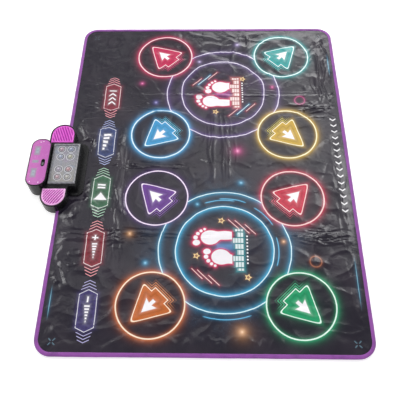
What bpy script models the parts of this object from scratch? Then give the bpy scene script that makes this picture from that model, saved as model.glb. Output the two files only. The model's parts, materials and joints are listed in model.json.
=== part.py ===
"""Two-player musical dance mat with its control unit, in metres, +Z up, lying flat.

The mat is a stack of sheets that folds along its middle. Eight round step pads and five
control keys are membrane switches, which travel down into the stack. The control unit
straddles one short side: a body with a lamp window between two speaker grilles, and a
taller pod that holds the power switch and the cells.

Every length below is a size of the real thing. The mat's own frame has its origin at the
middle of the mat; one empty shifts it so that the world origin is under the middle of the
whole object.
"""

import math

import bmesh
import bpy
from mathutils import Matrix

GAP = 0.0003  # clearance between pieces that touch
OVER = 0.1  # how far a cutter runs past what it cuts
ROUND = 12  # steps of a small round piece

# Mat
MAT_WIDTH = 0.900
MAT_LENGTH = 1.200
MAT_CORNER = 0.048
BINDING_WIDTH = 0.011
BINDING_SKIN = 0.0008
BOTTOM_SHEET = 0.0008
FOAM = 0.0025
FILM = 0.0004
SPACER = 0.0014
TOP_SHEET = 0.0008
FOLD_AXIS_LIFT = 0.0035  # height of the fold's axis over the printed face
CORNER_STEPS = 8

# Step pads
PAD_RADIUS = 0.0967
PAD_COLUMNS = (-0.148, 0.2635)
PAD_ROWS = (0.4605, 0.119, -0.121, -0.459)
CONTACT_RADIUS = 0.090
PAD_STEPS = 32
WELL_CLEARANCE = 0.0025  # round a pad, in the layers it is pressed into
INNER_STEPS = 24

# Control keys, one column, with pointed ends
KEY_NAMES = ("key_speed", "key_level", "key_start", "key_volume_up", "key_volume_down")
KEY_WIDTH = 0.055
KEY_LENGTH = 0.125
KEY_POINT = 0.0135
KEY_COLUMN = -0.320
KEY_FIRST = 0.2725
KEY_PITCH = 0.1875

# Control unit: body, display block and flange
BODY_WIDTH = 0.080
BODY_LENGTH = 0.304
BODY_OVERHANG = 0.046  # how far the body stands out past the mat's edge
BODY_TOP = 0.040
BODY_EDGE = 0.0015  # rounding along the top
UNIT_Y = -0.020
SHELL = 0.0024
ROOF = 0.0048
BASE = 0.002
BLOCK_WIDTH = 0.088
BLOCK_LENGTH = 0.158
BLOCK_REACH = 0.0585  # how far the block reaches in over the mat
BLOCK_SETBACK = 0.002  # the block's middle, towards the near end from the unit's
BLOCK_CORNER = 0.004
BLOCK_RISE = 0.0025  # over the body's top
BLOCK_EDGE = 0.001
FLANGE_WIDTH = 0.050
FLANGE_LENGTH = 0.192
FLANGE_REACH = 0.075
FLANGE_CORNER = 0.020
FLANGE_RISE = 0.004
FLANGE_EDGE = 0.0015

# Lamp window
WINDOW_WIDTH = 0.082
WINDOW_LENGTH = 0.146
WINDOW_HEIGHT = 0.0055  # its top over the block's top
WINDOW_WALL = 0.0018
WINDOW_CORNER = 0.003
WINDOW_EDGE = 0.0015
LAMP_OPENING_MARGIN = 0.008
LAMP_RADIUS = 0.0078
LAMP_COLUMNS = (-0.015, 0.015)
LAMP_ROWS = (0.053, 0.025, -0.021, -0.049)
GUIDE_PLATE = 0.0012
DOME_HEIGHT = 0.0018
DOME_RIM = 0.0003

# Grilles and speakers
GRILLE_RIM = 0.003
GRILLE_THICKNESS = 0.0024
GRILLE_BARS = {"far": 0.003, "near": 0.0068}  # bar left between each grille and the display block
GRILLE_FRAME = 0.005
SLOT_WIDTH = 0.0022
FAR_SLOT_PITCH = 0.0078
FAR_SLOT_ANGLE = math.radians(112)
NEAR_SLOT_PITCH = 0.0052
NEAR_SLOT_ANGLE = math.radians(56)
SPEAKER_RADIUS = 0.029
SPEAKER_DEPTH = 0.016
SPEAKER_OPENING = 0.025

# Pod
POD_REACH = 0.093
POD_WIDTH = 0.063
POD_LENGTH = 0.173
POD_Y = -0.0245
POD_CORNER = 0.028
POD_TOP = 0.058
POD_EDGE = 0.002
POD_SHELL = 0.0025
PLATE_INSET = 0.003
PLATE_THICKNESS = 0.002
POD_ROOF = 0.002

# Power switch
SWITCH_X = 0.0135  # from the pod's middle
SWITCH_Y = -0.028
SWITCH_WIDTH = 0.011
SWITCH_LENGTH = 0.026
SWITCH_FLANGE = 0.003
SWITCH_FLANGE_MARGIN = 0.0035
SWITCH_DEPTH = 0.003
SLIDER_WIDTH = 0.006
SLIDER_LENGTH = 0.009
SLIDER_TRAVEL = 0.008
SLIDER_RISE = 0.0008

# Cells and their door
CELL_RADIUS = 0.00725
CELL_LENGTH = 0.0492
CELL_TIP_RADIUS = 0.00275
CELL_TIP = 0.0013
CELL_COUNT = 3
SPRING_LENGTH = 0.004
SPRING_RADIUS = 0.0028
TAB_HEIGHT = 0.001
CONTACT_PLATE = 0.0005
CONTACT_PLATE_WIDTH = 0.011
BATTERY_WALL = 0.0015
DOOR_MARGIN = 0.002  # the opening stops this far inside the end walls
DOOR_LIP = 0.003
DOOR_THICKNESS = 0.002
DOOR_HINGE_RISE = 0.0012
DOOR_BARREL = 0.0010

# Board, ribbon and clamp
BOARD_WIDTH = 0.066
BOARD_LENGTH = 0.124
BOARD_THICKNESS = 0.0016
BOARD_DROP = 0.0065  # the board's top under the block's top
CHIP_SIZE = 0.016
CHIP_HEIGHT = 0.0015
LED_RADIUS = 0.0025
LED_HEIGHT = 0.003
PILLAR_RADIUS = 0.003
PILLAR_INSET = 0.010  # from the board's sides
RIBBON_WIDTH = 0.022
RIBBON_THICKNESS = 0.0004
RIBBON_CLEARANCE = 0.0008
RIBBON_INSET = 0.026  # from the mat's edge
CLAMP_WIDTH = 0.050
CLAMP_LENGTH = 0.150
CLAMP_INSET = 0.014
CLAMP_CORNER = 0.004
CLAMP_THICKNESS = 0.0011
SCREW_RADIUS = 0.00125
SCREW_HEAD_RADIUS = 0.0026
SCREW_HEAD = 0.0010
HEAD_PROFILE = ((SCREW_HEAD_RADIUS, 0), (SCREW_HEAD_RADIUS, SCREW_HEAD), (0, SCREW_HEAD))
SCREW_PITCH = 0.062
SCREW_INSET = 0.049
SCREW_REACH = 0.005  # how far a screw runs into its boss
BOSS_RADIUS = 0.004


def stack(thicknesses):
    """(bottom, top) of each layer from the floor up, one clearance apart."""
    layers, bottom = [], 0.0
    for thickness in thicknesses:
        layers.append((bottom, bottom + thickness))
        bottom += thickness + GAP
    return layers


BOTTOM_Z, FOAM_Z, LOWER_FILM_Z, SPACER_Z, UPPER_FILM_Z, TOP_Z = stack(
    (BOTTOM_SHEET, FOAM, FILM, SPACER, FILM, TOP_SHEET)
)
MAT_TOP = TOP_Z[1]
EDGE = -MAT_WIDTH / 2
FOLD_AXIS_Z = MAT_TOP + FOLD_AXIS_LIFT
MAT_SHIFT = POD_REACH / 2

SKIRT = MAT_TOP + GAP  # underside of what lies over the mat
LOW_RIM = BASE + GAP  # underside of the shells beside the mat
BODY_X = EDGE - BODY_OVERHANG + BODY_WIDTH / 2
BODY_RADIUS = BODY_WIDTH / 2
BLOCK_TOP = BODY_TOP + BLOCK_RISE
BLOCK_X = EDGE + BLOCK_REACH - BLOCK_WIDTH / 2
BLOCK_Y = UNIT_Y - BLOCK_SETBACK
FLANGE_X = EDGE + FLANGE_REACH - FLANGE_WIDTH / 2
STEP_X = EDGE - 5 * GAP  # the unit drops to the floor left of here
POD_X = EDGE - POD_REACH + POD_WIDTH / 2
PLATE_Z = (POD_TOP - PLATE_THICKNESS - GAP, POD_TOP - GAP)
POD_ROOF_Z = (PLATE_Z[0] - GAP - POD_ROOF, PLATE_Z[0] - GAP)
BOARD_Z = (BLOCK_TOP - BOARD_DROP - BOARD_THICKNESS, BLOCK_TOP - BOARD_DROP)
WINDOW_BOTTOM = BLOCK_TOP + GAP
WINDOW_TOP = BLOCK_TOP + WINDOW_HEIGHT
END_REACH = BODY_LENGTH / 2 - BODY_RADIUS  # from the unit's middle to the centre of a round end
SPEAKER_Y = {"far": UNIT_Y + END_REACH, "near": UNIT_Y - END_REACH}


# Outlines, as lists of (x, y) running anticlockwise


def arc(x, y, radius, start, end, steps):
    turns = [start + i * (end - start) / steps for i in range(steps + 1)]
    return [(x + radius * math.cos(turn), y + radius * math.sin(turn)) for turn in turns]


def circle(x, y, radius, steps):
    return arc(x, y, radius, 0, 2 * math.pi, steps)[:-1]


def corner_box(low, high, radii, steps=CORNER_STEPS):
    """A rectangle with its four corner radii from the lower left, anticlockwise; 0 is sharp."""
    (x0, y0), (x1, y1) = low, high
    corners = ((x0, y0, 1, 1), (x1, y0, -1, 1), (x1, y1, -1, -1), (x0, y1, 1, -1))
    points = []
    for turn, (x, y, sx, sy) in enumerate(corners):
        radius = radii[turn]
        if radius <= 0:
            points.append((x, y))
            continue
        start = math.pi + turn * math.pi / 2
        points += arc(x + sx * radius, y + sy * radius, radius, start, start + math.pi / 2, steps)
    return points


def centred_box(x, y, width, length, radius, inset=0.0, steps=CORNER_STEPS):
    half_width, half_length = width / 2 - inset, length / 2 - inset
    low, high = (x - half_width, y - half_length), (x + half_width, y + half_length)
    return corner_box(low, high, (max(radius - inset, 0),) * 4, steps)


def half_mat(side, inset, over_fold=0.0):
    """One half of the mat's outline, drawn in by inset; over_fold carries it past the fold."""
    fold = -GAP / 2 + over_fold
    half_length = MAT_LENGTH / 2 - inset
    radius = MAT_CORNER - inset
    left = corner_box((EDGE + inset, -half_length), (fold, half_length), (radius, 0, 0, radius))
    return left if side == "left" else [(-x, y) for x, y in reversed(left)]


def key_outline(y, grow=0.0):
    half_width, half_length = KEY_WIDTH / 2 + grow, KEY_LENGTH / 2 + grow
    shoulder = half_length - KEY_POINT
    return [
        (KEY_COLUMN, y - half_length),
        (KEY_COLUMN + half_width, y - shoulder),
        (KEY_COLUMN + half_width, y + shoulder),
        (KEY_COLUMN, y + half_length),
        (KEY_COLUMN - half_width, y + shoulder),
        (KEY_COLUMN - half_width, y - shoulder),
    ]


def body_outline(inset=0.0):
    return centred_box(BODY_X, UNIT_Y, BODY_WIDTH, BODY_LENGTH, BODY_RADIUS, inset, 12)


def block_outline(inset=0.0):
    return centred_box(BLOCK_X, BLOCK_Y, BLOCK_WIDTH, BLOCK_LENGTH, BLOCK_CORNER, inset, 3)


def pod_outline(inset=0.0):
    return centred_box(POD_X, POD_Y, POD_WIDTH, POD_LENGTH, POD_CORNER, inset)


def grille_outline(side, inset):
    """The body's round end, cut straight where the display block begins."""
    sign = 1 if side == "far" else -1
    flat = BLOCK_Y + sign * (BLOCK_LENGTH / 2 + GRILLE_BARS[side] + inset - GRILLE_RIM)
    radius = BODY_RADIUS - inset
    dome = arc(BODY_X, SPEAKER_Y[side], radius, 0, math.pi, 24)
    if side == "near":
        dome = [(x, 2 * SPEAKER_Y[side] - y) for x, y in dome]
    points = [(BODY_X + radius, flat), *dome, (BODY_X - radius, flat)]
    return points if side == "far" else points[::-1]


def slot_outlines(side, pitch, angle):
    """Slanted slots that fill the grille inside its frame."""
    sign = 1 if side == "far" else -1
    flat = BLOCK_Y + sign * (BLOCK_LENGTH / 2 + GRILLE_BARS[side] + GRILLE_FRAME)
    radius = BODY_RADIUS - GRILLE_RIM - GRILLE_FRAME
    along = (math.cos(angle), math.sin(angle))
    across = (-along[1], along[0])
    middle = (BODY_X, (flat + SPEAKER_Y[side] + sign * radius) / 2)

    def inside(x, y):
        beyond = sign * (y - SPEAKER_Y[side])
        depth = math.hypot(x - BODY_X, max(beyond, 0))
        return depth < radius and sign * (y - flat) > 0

    slots = []
    count = int(BODY_WIDTH / pitch)
    for row in range(-count, count + 1):
        base = [middle[k] + row * pitch * across[k] for k in (0, 1)]
        runs = [step * 0.0005 for step in range(-160, 161)]
        hits = [t for t in runs if inside(base[0] + t * along[0], base[1] + t * along[1])]
        if not hits or hits[-1] - hits[0] < 4 * SLOT_WIDTH:
            continue
        ends = [[base[k] + t * along[k] for k in (0, 1)] for t in (hits[0], hits[-1])]
        half = [across[k] * SLOT_WIDTH / 2 for k in (0, 1)]
        slots.append([
            (ends[0][0] - half[0], ends[0][1] - half[1]),
            (ends[1][0] - half[0], ends[1][1] - half[1]),
            (ends[1][0] + half[0], ends[1][1] + half[1]),
            (ends[0][0] + half[0], ends[0][1] + half[1]),
        ])
    return slots


# Making pieces


def clear_scene():
    for piece in list(bpy.data.objects):
        bpy.data.objects.remove(piece)
    for name in ("Dance mat", "Cutters"):
        group = bpy.data.collections.new(name)
        bpy.context.scene.collection.children.link(group)
    bpy.data.collections["Cutters"].hide_render = True


def material(name, colour, roughness, metallic=0.0, transmission=0.0):
    made = bpy.data.materials.get(name) or bpy.data.materials.new(name)
    made.use_nodes = True
    shader = made.node_tree.nodes["Principled BSDF"]
    shader.inputs["Base Color"].default_value = (*colour, 1)
    shader.inputs["Roughness"].default_value = roughness
    shader.inputs["Metallic"].default_value = metallic
    shader.inputs["Transmission Weight"].default_value = transmission
    return made


def empty(name, location, parent=None):
    made = bpy.data.objects.new(name, None)
    made.empty_display_size = 0.02
    made.location = location
    made.parent = parent
    bpy.data.collections["Dance mat"].objects.link(made)
    return made


def place(piece, surface, parent):
    """Puts a finished piece, and its cutters, under its parent in the mat's frame."""
    bpy.data.collections["Dance mat"].objects.link(piece)
    piece.data.materials.clear()
    piece.data.materials.append(surface)
    cutters = [modifier.object for modifier in piece.modifiers if modifier.type == "BOOLEAN"]
    for each in (piece, *cutters):
        each.parent = parent
        if parent.parent:
            each.matrix_parent_inverse = Matrix.Translation(parent.location).inverted()


def set_origin(piece, location):
    """Moves the origin there and leaves the shape where it is."""
    shift = Matrix.Translation([now - new for now, new in zip(piece.location, location)])
    piece.data.transform(shift)
    piece.location = location
    return piece


def flat_curve(name, outlines, heights):
    """Closed outlines filled between two heights; an outline inside another is a hole."""
    data = bpy.data.curves.new(name, "CURVE")
    data.dimensions = "2D"
    data.fill_mode = "BOTH"
    data.extrude = (heights[1] - heights[0]) / 2
    for outline in outlines:
        spline = data.splines.new("POLY")
        spline.points.add(len(outline) - 1)
        for point, (x, y) in zip(spline.points, outline):
            point.co = (x, y, 0, 1)
        spline.use_cyclic_u = True
    piece = bpy.data.objects.new(name, data)
    piece.location.z = (heights[0] + heights[1]) / 2
    return piece


def flat_solid(name, outlines, heights):
    """The same as a mesh, in world place, which can be cut and joined."""
    curve = flat_curve(name + " outline", outlines, heights)
    bpy.context.scene.collection.objects.link(curve)
    graph = bpy.context.evaluated_depsgraph_get()
    mesh = bpy.data.meshes.new_from_object(curve.evaluated_get(graph))
    mesh.transform(Matrix.Translation(curve.location))
    shape = bmesh.new()
    shape.from_mesh(mesh)
    bmesh.ops.remove_doubles(shape, verts=shape.verts, dist=1e-6)
    bmesh.ops.recalc_face_normals(shape, faces=shape.faces)
    shape.to_mesh(mesh)
    shape.free()
    bpy.data.objects.remove(curve)
    return bpy.data.objects.new(name, mesh)


def box(name, low, high):
    shape = bmesh.new()
    size = [b - a for a, b in zip(low, high)]
    middle = [(a + b) / 2 for a, b in zip(low, high)]
    matrix = Matrix.Translation(middle) @ Matrix.Diagonal((*size, 1))
    bmesh.ops.create_cube(shape, size=1, matrix=matrix)
    mesh = bpy.data.meshes.new(name)
    shape.to_mesh(mesh)
    shape.free()
    return bpy.data.objects.new(name, mesh)


def post(name, x, y, radius, heights, steps=ROUND):
    shape = bmesh.new()
    matrix = Matrix.Translation((x, y, (heights[0] + heights[1]) / 2))
    depth = heights[1] - heights[0]
    bmesh.ops.create_cone(
        shape, cap_ends=True, segments=steps, radius1=radius, radius2=radius, depth=depth, matrix=matrix
    )
    mesh = bpy.data.meshes.new(name)
    shape.to_mesh(mesh)
    shape.free()
    return bpy.data.objects.new(name, mesh)


def turned(name, profile, steps=ROUND):
    """A profile of (radius, height), from the axis at the top to the axis at the foot."""
    mesh = bpy.data.meshes.new(name)
    points = [(radius, 0, height) for radius, height in profile]
    mesh.from_pydata(points, [(i, i + 1) for i in range(len(points) - 1)], [])
    piece = bpy.data.objects.new(name, mesh)
    screw = piece.modifiers.new("Turn", "SCREW")
    screw.steps = screw.render_steps = steps
    screw.use_merge_vertices = True
    screw.merge_threshold = 1e-5
    return piece


def combine(piece, other, operation):
    """Boolean of two meshes; the other one is kept as a hidden cutter."""
    bpy.data.collections["Cutters"].objects.link(other)
    other.hide_render = True
    other.display_type = "WIRE"
    boolean = piece.modifiers.new(other.name, "BOOLEAN")
    boolean.operation = operation
    boolean.object = other
    boolean.solver = "EXACT"


def cut(piece, *cutters):
    for cutter in cutters:
        combine(piece, cutter, "DIFFERENCE")
    return piece


def join(piece, *others):
    for other in others:
        combine(piece, other, "UNION")
    return piece


def settled(piece):
    """Applies the piece's Booleans, so that it can be a cutter or be reshaped."""
    group = bpy.data.collections["Cutters"]
    group.objects.link(piece)
    graph = bpy.context.evaluated_depsgraph_get()
    piece.data = bpy.data.meshes.new_from_object(piece.evaluated_get(graph))
    group.objects.unlink(piece)
    piece.modifiers.clear()
    return piece


def round_top(piece, height, width, segments=2):
    """Rounds the edges that lie at this height."""
    shape = bmesh.new()
    shape.from_mesh(piece.data)
    edges = [edge for edge in shape.edges if all(abs(v.co.z - height) < 1e-6 for v in edge.verts)]
    edges = [edge for edge in edges if edge.calc_face_angle(0) > 1]
    bmesh.ops.bevel(shape, geom=edges, offset=width, segments=segments, profile=0.5, affect="EDGES")
    shape.to_mesh(piece.data)
    shape.free()
    return piece


# Materials


def surfaces():
    return {
        "vinyl": material("Printed vinyl", (0.045, 0.042, 0.052), 0.35),
        "foam": material("Foam", (0.10, 0.10, 0.11), 0.9),
        "film": material("Circuit film", (0.70, 0.72, 0.74), 0.3),
        "spacer": material("Spacer foam", (0.75, 0.75, 0.72), 0.9),
        "backing": material("Anti-slip backing", (0.03, 0.03, 0.035), 0.8),
        "binding": material("Edge binding", (0.30, 0.06, 0.36), 0.7),
        "carbon": material("Carbon contact", (0.02, 0.02, 0.02), 0.5),
        "black": material("Black moulding", (0.012, 0.012, 0.014), 0.3),
        "pink": material("Pink moulding", (0.55, 0.17, 0.50), 0.3),
        "grille": material("Pink grille", (0.75, 0.09, 0.66), 0.35),
        "clear": material("Clear window", (0.80, 0.80, 0.85), 0.1, transmission=0.8),
        "lens": material("Lamp lens", (0.75, 0.75, 0.78), 0.25),
        "board": material("Circuit board", (0.02, 0.12, 0.05), 0.5),
        "steel": material("Steel", (0.60, 0.60, 0.62), 0.35, metallic=1.0),
        "cone": material("Speaker cone", (0.03, 0.03, 0.03), 0.8),
        "cell": material("Cell jacket", (0.10, 0.12, 0.16), 0.4),
        "grey": material("Grey knob", (0.18, 0.18, 0.19), 0.5),
    }


# Mat


def pad_places():
    """(number, x, y, half) of each pad: 1 to 4 down the left column, 5 to 8 down the right."""
    places = [(x, y) for x in PAD_COLUMNS for y in PAD_ROWS]
    return [(i + 1, x, y, "left" if x < 0 else "right") for i, (x, y) in enumerate(places)]


def key_places():
    return [(name, KEY_FIRST - i * KEY_PITCH) for i, name in enumerate(KEY_NAMES)]


def switch_holes(side, clearance=WELL_CLEARANCE, steps=INNER_STEPS):
    """The openings that the pads and keys of one half travel in."""
    holes = [circle(x, y, PAD_RADIUS + clearance, steps) for _, x, y, half in pad_places() if half == side]
    if side == "left":
        holes += [key_outline(y, GAP) for _, y in key_places()]
    return holes


def screw_places():
    x = EDGE + SCREW_INSET
    return [(x, BLOCK_Y + step * SCREW_PITCH) for step in (-1, 0, 1)]


def screw_holes():
    return [circle(x, y, SCREW_RADIUS + 2 * GAP, ROUND) for x, y in screw_places()]


def ribbon_hole(grow=RIBBON_CLEARANCE):
    x = EDGE + RIBBON_INSET
    return centred_box(x, UNIT_Y, RIBBON_THICKNESS + 2 * grow, RIBBON_WIDTH + 2 * grow, 0)


def clamp_outline(inset=0.0):
    x = EDGE + CLAMP_INSET + CLAMP_WIDTH / 2
    return centred_box(x, BLOCK_Y, CLAMP_WIDTH, CLAMP_LENGTH, CLAMP_CORNER, inset, 3)


def mat_sheets(side, parent, looks):
    """The six sheets of one half. The outer two stop at the binding, which grips the rest."""
    outer = half_mat(side, BINDING_WIDTH + GAP)
    core = half_mat(side, BINDING_SKIN + GAP)
    unit = side == "left"
    through = screw_holes() if unit else []
    ribbon = [ribbon_hole()] if unit else []
    window = [clamp_outline()] if unit else []
    for name, heights, outlines, look in (
        ("bottom_sheet_", BOTTOM_Z, [outer], "backing"),
        ("foam_core_", FOAM_Z, [core, *window], "foam"),
        ("lower_film_", LOWER_FILM_Z, [core, *through], "film"),
        ("spacer_", SPACER_Z, [core, *switch_holes(side), *through, *ribbon], "spacer"),
        ("upper_film_", UPPER_FILM_Z, [core, *switch_holes(side), *through, *ribbon], "film"),
        ("top_sheet_", TOP_Z, [outer, *switch_holes(side, GAP, PAD_STEPS), *through, *ribbon], "vinyl"),
    ):
        place(flat_curve(name + side, outlines, heights), looks[look], parent)


def edge_binding(side, parent, looks):
    """Tape folded round the edge: a channel that is open inwards and at the fold."""
    tape = flat_solid("edge_binding_" + side, [half_mat(side, 0)], (0, MAT_TOP))
    inner_outline = half_mat(side, BINDING_WIDTH, BINDING_WIDTH)
    inner = flat_solid("binding_inner_" + side, [inner_outline], (-OVER, OVER))
    channel_outline = half_mat(side, BINDING_SKIN, BINDING_WIDTH)
    channel_z = (BINDING_SKIN, MAT_TOP - BINDING_SKIN)
    channel = flat_solid("binding_channel_" + side, [channel_outline], channel_z)
    place(cut(tape, inner, channel), looks["binding"], parent)


def pads(halves, looks):
    for number, x, y, half in pad_places():
        cover = flat_curve(f"pad_{number}_cover", [circle(0, 0, PAD_RADIUS, PAD_STEPS)], TOP_Z)
        contact_outline = circle(0, 0, CONTACT_RADIUS, INNER_STEPS)
        contact = flat_curve(f"pad_{number}_contact", [contact_outline], UPPER_FILM_Z)
        for piece, look in ((cover, "vinyl"), (contact, "carbon")):
            piece.location.x, piece.location.y = x, y
            place(piece, looks[look], halves[half])


def keys(parent, looks):
    heights = (UPPER_FILM_Z[0], TOP_Z[1])
    for name, y in key_places():
        cover = flat_solid(name, [key_outline(y)], heights)
        set_origin(cover, (KEY_COLUMN, y, heights[1]))
        place(cover, looks["vinyl"], parent)


# Control unit


def beside_mat(name, heights, reach=0.0):
    """A cutter for all that lies over the mat, between two heights."""
    low = (STEP_X - reach, UNIT_Y - BODY_LENGTH, heights[0])
    high = (0, UNIT_Y + BODY_LENGTH, heights[1])
    return box(name, low, high)


def unit_base(parent, looks):
    """Bottom cover: a floor plate beside the mat and a raised plate over it, with bosses."""
    raised = (SKIRT, SKIRT + BASE)
    inset = SHELL + GAP
    base = flat_solid("unit_base", [body_outline()], (0, BASE))
    cut(base, beside_mat("base_mat_side", (-OVER, BASE + GAP)))
    join(base, flat_solid("base_under_pod", [pod_outline()], (0, BASE)))
    plate = flat_solid("base_raised_plate", [body_outline(inset)], raised)
    join(plate, flat_solid("base_block_plate", [block_outline(inset)], raised))
    combine(plate, beside_mat("base_plate_trim", (0, OVER), BASE), "INTERSECT")
    riser_low = (STEP_X - BASE, UNIT_Y - END_REACH, 0)
    riser_high = (STEP_X, UNIT_Y + END_REACH, raised[1])
    join(base, box("base_riser", riser_low, riser_high), settled(plate))
    boss_top = raised[1] + SCREW_REACH
    for i, (x, y) in enumerate(screw_places()):
        join(base, post(f"base_boss_{i}", x, y, BOSS_RADIUS, (raised[0] + BASE / 2, boss_top)))
        cut(base, post(f"base_bore_{i}", x, y, SCREW_RADIUS + GAP, (0, boss_top - 2 * GAP)))
    for i, (sx, sy) in enumerate(((-1, -1), (1, -1), (1, 1), (-1, 1))):
        x = BLOCK_X + sx * (BOARD_WIDTH / 2 - PILLAR_INSET)
        y = BLOCK_Y + sy * (BOARD_LENGTH / 2 - PILLAR_INSET)
        foot = (raised[0] if x > STEP_X else 0) + BASE / 2
        join(base, post(f"base_pillar_{i}", x, y, PILLAR_RADIUS, (foot, BOARD_Z[0] - GAP)))
    cut(base, flat_solid("base_ribbon_slot", [ribbon_hole()], (0, OVER)))
    place(base, looks["black"], parent)


def unit_housing(parent, looks):
    """Upper shell of the body, with the display block and the flange that holds the mat."""
    shell = flat_solid("unit_housing", [body_outline()], (LOW_RIM, BODY_TOP))
    round_top(shell, BODY_TOP, BODY_EDGE)
    block = flat_solid("housing_block", [block_outline()], (SKIRT, BLOCK_TOP))
    round_top(block, BLOCK_TOP, BLOCK_EDGE, 1)
    flange_outline = centred_box(FLANGE_X, BLOCK_Y, FLANGE_WIDTH, FLANGE_LENGTH, FLANGE_CORNER)
    flange = flat_solid("housing_flange", [flange_outline], (SKIRT, SKIRT + FLANGE_RISE))
    round_top(flange, SKIRT + FLANGE_RISE, FLANGE_EDGE)
    join(shell, block, flange)
    cut(shell, flat_solid("housing_body_room", [body_outline(SHELL)], (0, BODY_TOP - ROOF)))
    cut(shell, flat_solid("housing_block_room", [block_outline(SHELL)], (0, BLOCK_TOP - SHELL)))
    cut(shell, flat_solid("housing_pod_side", [pod_outline(-GAP)], (0, OVER)))
    cut(shell, beside_mat("housing_mat_side", (0, SKIRT)))
    for side in ("far", "near"):
        seat = (BODY_TOP - GRILLE_THICKNESS, OVER)
        cut(shell, flat_solid("grille_seat_" + side, [grille_outline(side, GRILLE_RIM)], seat))
        hole = (BODY_TOP - ROOF - GAP, OVER)
        cut(shell, post("speaker_hole_" + side, BODY_X, SPEAKER_Y[side], SPEAKER_OPENING, hole, 24))
    opening = centred_box(BLOCK_X, BLOCK_Y, WINDOW_WIDTH, WINDOW_LENGTH, 0, LAMP_OPENING_MARGIN)
    cut(shell, flat_solid("lamp_opening", [opening], (BODY_TOP - ROOF - GAP, OVER)))
    place(shell, looks["black"], parent)


def grilles(parent, looks):
    heights = (BODY_TOP - GRILLE_THICKNESS + GAP, BODY_TOP + GAP)
    for side, pitch, angle in (
        ("far", FAR_SLOT_PITCH, FAR_SLOT_ANGLE),
        ("near", NEAR_SLOT_PITCH, NEAR_SLOT_ANGLE),
    ):
        outlines = [grille_outline(side, GRILLE_RIM + GAP), *slot_outlines(side, pitch, angle)]
        place(flat_curve("grille_" + side, outlines, heights), looks["grille"], parent)


def speakers(parent, looks):
    """Rim, basket and magnet below; a cone with its dust cap above."""
    radius, depth = SPEAKER_RADIUS, SPEAKER_DEPTH
    profile = [
        (0, -0.0030),
        (0.30 * radius, -0.0045),
        (0.34 * radius, -0.0070),
        (0.80 * radius, -0.0010),
        (0.88 * radius, 0),
        (radius, 0),
        (radius, -0.0015),
        (0.85 * radius, -0.0025),
        (0.55 * radius, -0.0100),
        (0.55 * radius, -depth),
        (0, -depth),
    ]
    for side in ("far", "near"):
        speaker = turned("speaker_" + side, profile, 16)
        speaker.location = (BODY_X, SPEAKER_Y[side], BODY_TOP - ROOF - GAP)
        place(speaker, looks["cone"], parent)


def lamp_window(parent, looks):
    """A clear lid over a pearly plate with eight round lenses."""
    outline = centred_box(BLOCK_X, BLOCK_Y, WINDOW_WIDTH, WINDOW_LENGTH, WINDOW_CORNER, 0, 3)
    lid = flat_solid("display_window", [outline], (WINDOW_BOTTOM, WINDOW_TOP))
    round_top(lid, WINDOW_TOP, WINDOW_EDGE)
    room = centred_box(BLOCK_X, BLOCK_Y, WINDOW_WIDTH, WINDOW_LENGTH, WINDOW_CORNER, WINDOW_WALL, 3)
    cut(lid, flat_solid("window_room", [room], (0, WINDOW_TOP - WINDOW_WALL)))
    place(lid, looks["clear"], parent)

    inset = WINDOW_WALL + GAP
    plate_outline = centred_box(BLOCK_X, BLOCK_Y, WINDOW_WIDTH, WINDOW_LENGTH, WINDOW_CORNER, inset, 3)
    plate_z = (WINDOW_BOTTOM, WINDOW_BOTTOM + GUIDE_PLATE)
    guide = flat_solid("light_guide", [plate_outline], plate_z)
    for i, (x, y) in enumerate(lamp_places()):
        top, foot = plate_z[1] + DOME_HEIGHT, plate_z[0] + GUIDE_PLATE / 2
        shoulder = (0.7 * LAMP_RADIUS, top - 0.3 * DOME_HEIGHT)
        crown = [(0, top), shoulder, (LAMP_RADIUS, plate_z[1] + DOME_RIM)]
        dome = turned(f"lens_{i}", crown + [(LAMP_RADIUS, foot), (0, foot)])
        dome.location = (x, y, 0)
        join(guide, dome)
    place(guide, looks["lens"], parent)


def lamp_places():
    return [(BLOCK_X + x, BLOCK_Y + y) for x in LAMP_COLUMNS for y in LAMP_ROWS]


def main_board(parent, looks):
    def centred(name, width, length, heights):
        low = (BLOCK_X - width / 2, BLOCK_Y - length / 2, heights[0])
        high = (BLOCK_X + width / 2, BLOCK_Y + length / 2, heights[1])
        return box(name, low, high)

    board = centred("main_board", BOARD_WIDTH, BOARD_LENGTH, BOARD_Z)
    lamp_foot = BOARD_Z[1] - BOARD_THICKNESS / 2
    for i, (x, y) in enumerate(lamp_places()):
        join(board, post(f"led_{i}", x, y, LED_RADIUS, (lamp_foot, BOARD_Z[1] + LED_HEIGHT), 8))
    chip_z = (BOARD_Z[0] - CHIP_HEIGHT, lamp_foot)
    join(board, centred("controller_chip", CHIP_SIZE, CHIP_SIZE, chip_z))
    place(board, looks["board"], parent)


def ribbon_tail(parent, looks):
    """The films' printed tail, which rises through the mat to the board."""
    x = EDGE + RIBBON_INSET
    low = (x - RIBBON_THICKNESS / 2, UNIT_Y - RIBBON_WIDTH / 2, SPACER_Z[0])
    high = (x + RIBBON_THICKNESS / 2, UNIT_Y + RIBBON_WIDTH / 2, BOARD_Z[0] - GAP)
    place(box("ribbon_tail", low, high), looks["film"], parent)


def clamp(parent, looks):
    """A plate under the circuit films and three screws draw the mat up to the base."""
    heights = (FOAM_Z[1] - CLAMP_THICKNESS, FOAM_Z[1])
    holes = [circle(x, y, SCREW_RADIUS + GAP, ROUND) for x, y in screw_places()]
    place(flat_curve("clamp_plate", [clamp_outline(GAP), *holes], heights), looks["steel"], parent)
    head_top = heights[0] - GAP
    tip = SKIRT + BASE + SCREW_REACH - 3 * GAP
    for i, (x, y) in enumerate(screw_places()):
        shank = [(0, tip), (SCREW_RADIUS, tip), (SCREW_RADIUS, head_top)]
        head = [(radius, head_top - drop) for radius, drop in HEAD_PROFILE]
        screw = turned(f"clamp_screw_{i + 1}", shank + head)
        screw.location = (x, y, 0)
        place(screw, looks["steel"], parent)


# Pod


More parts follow.
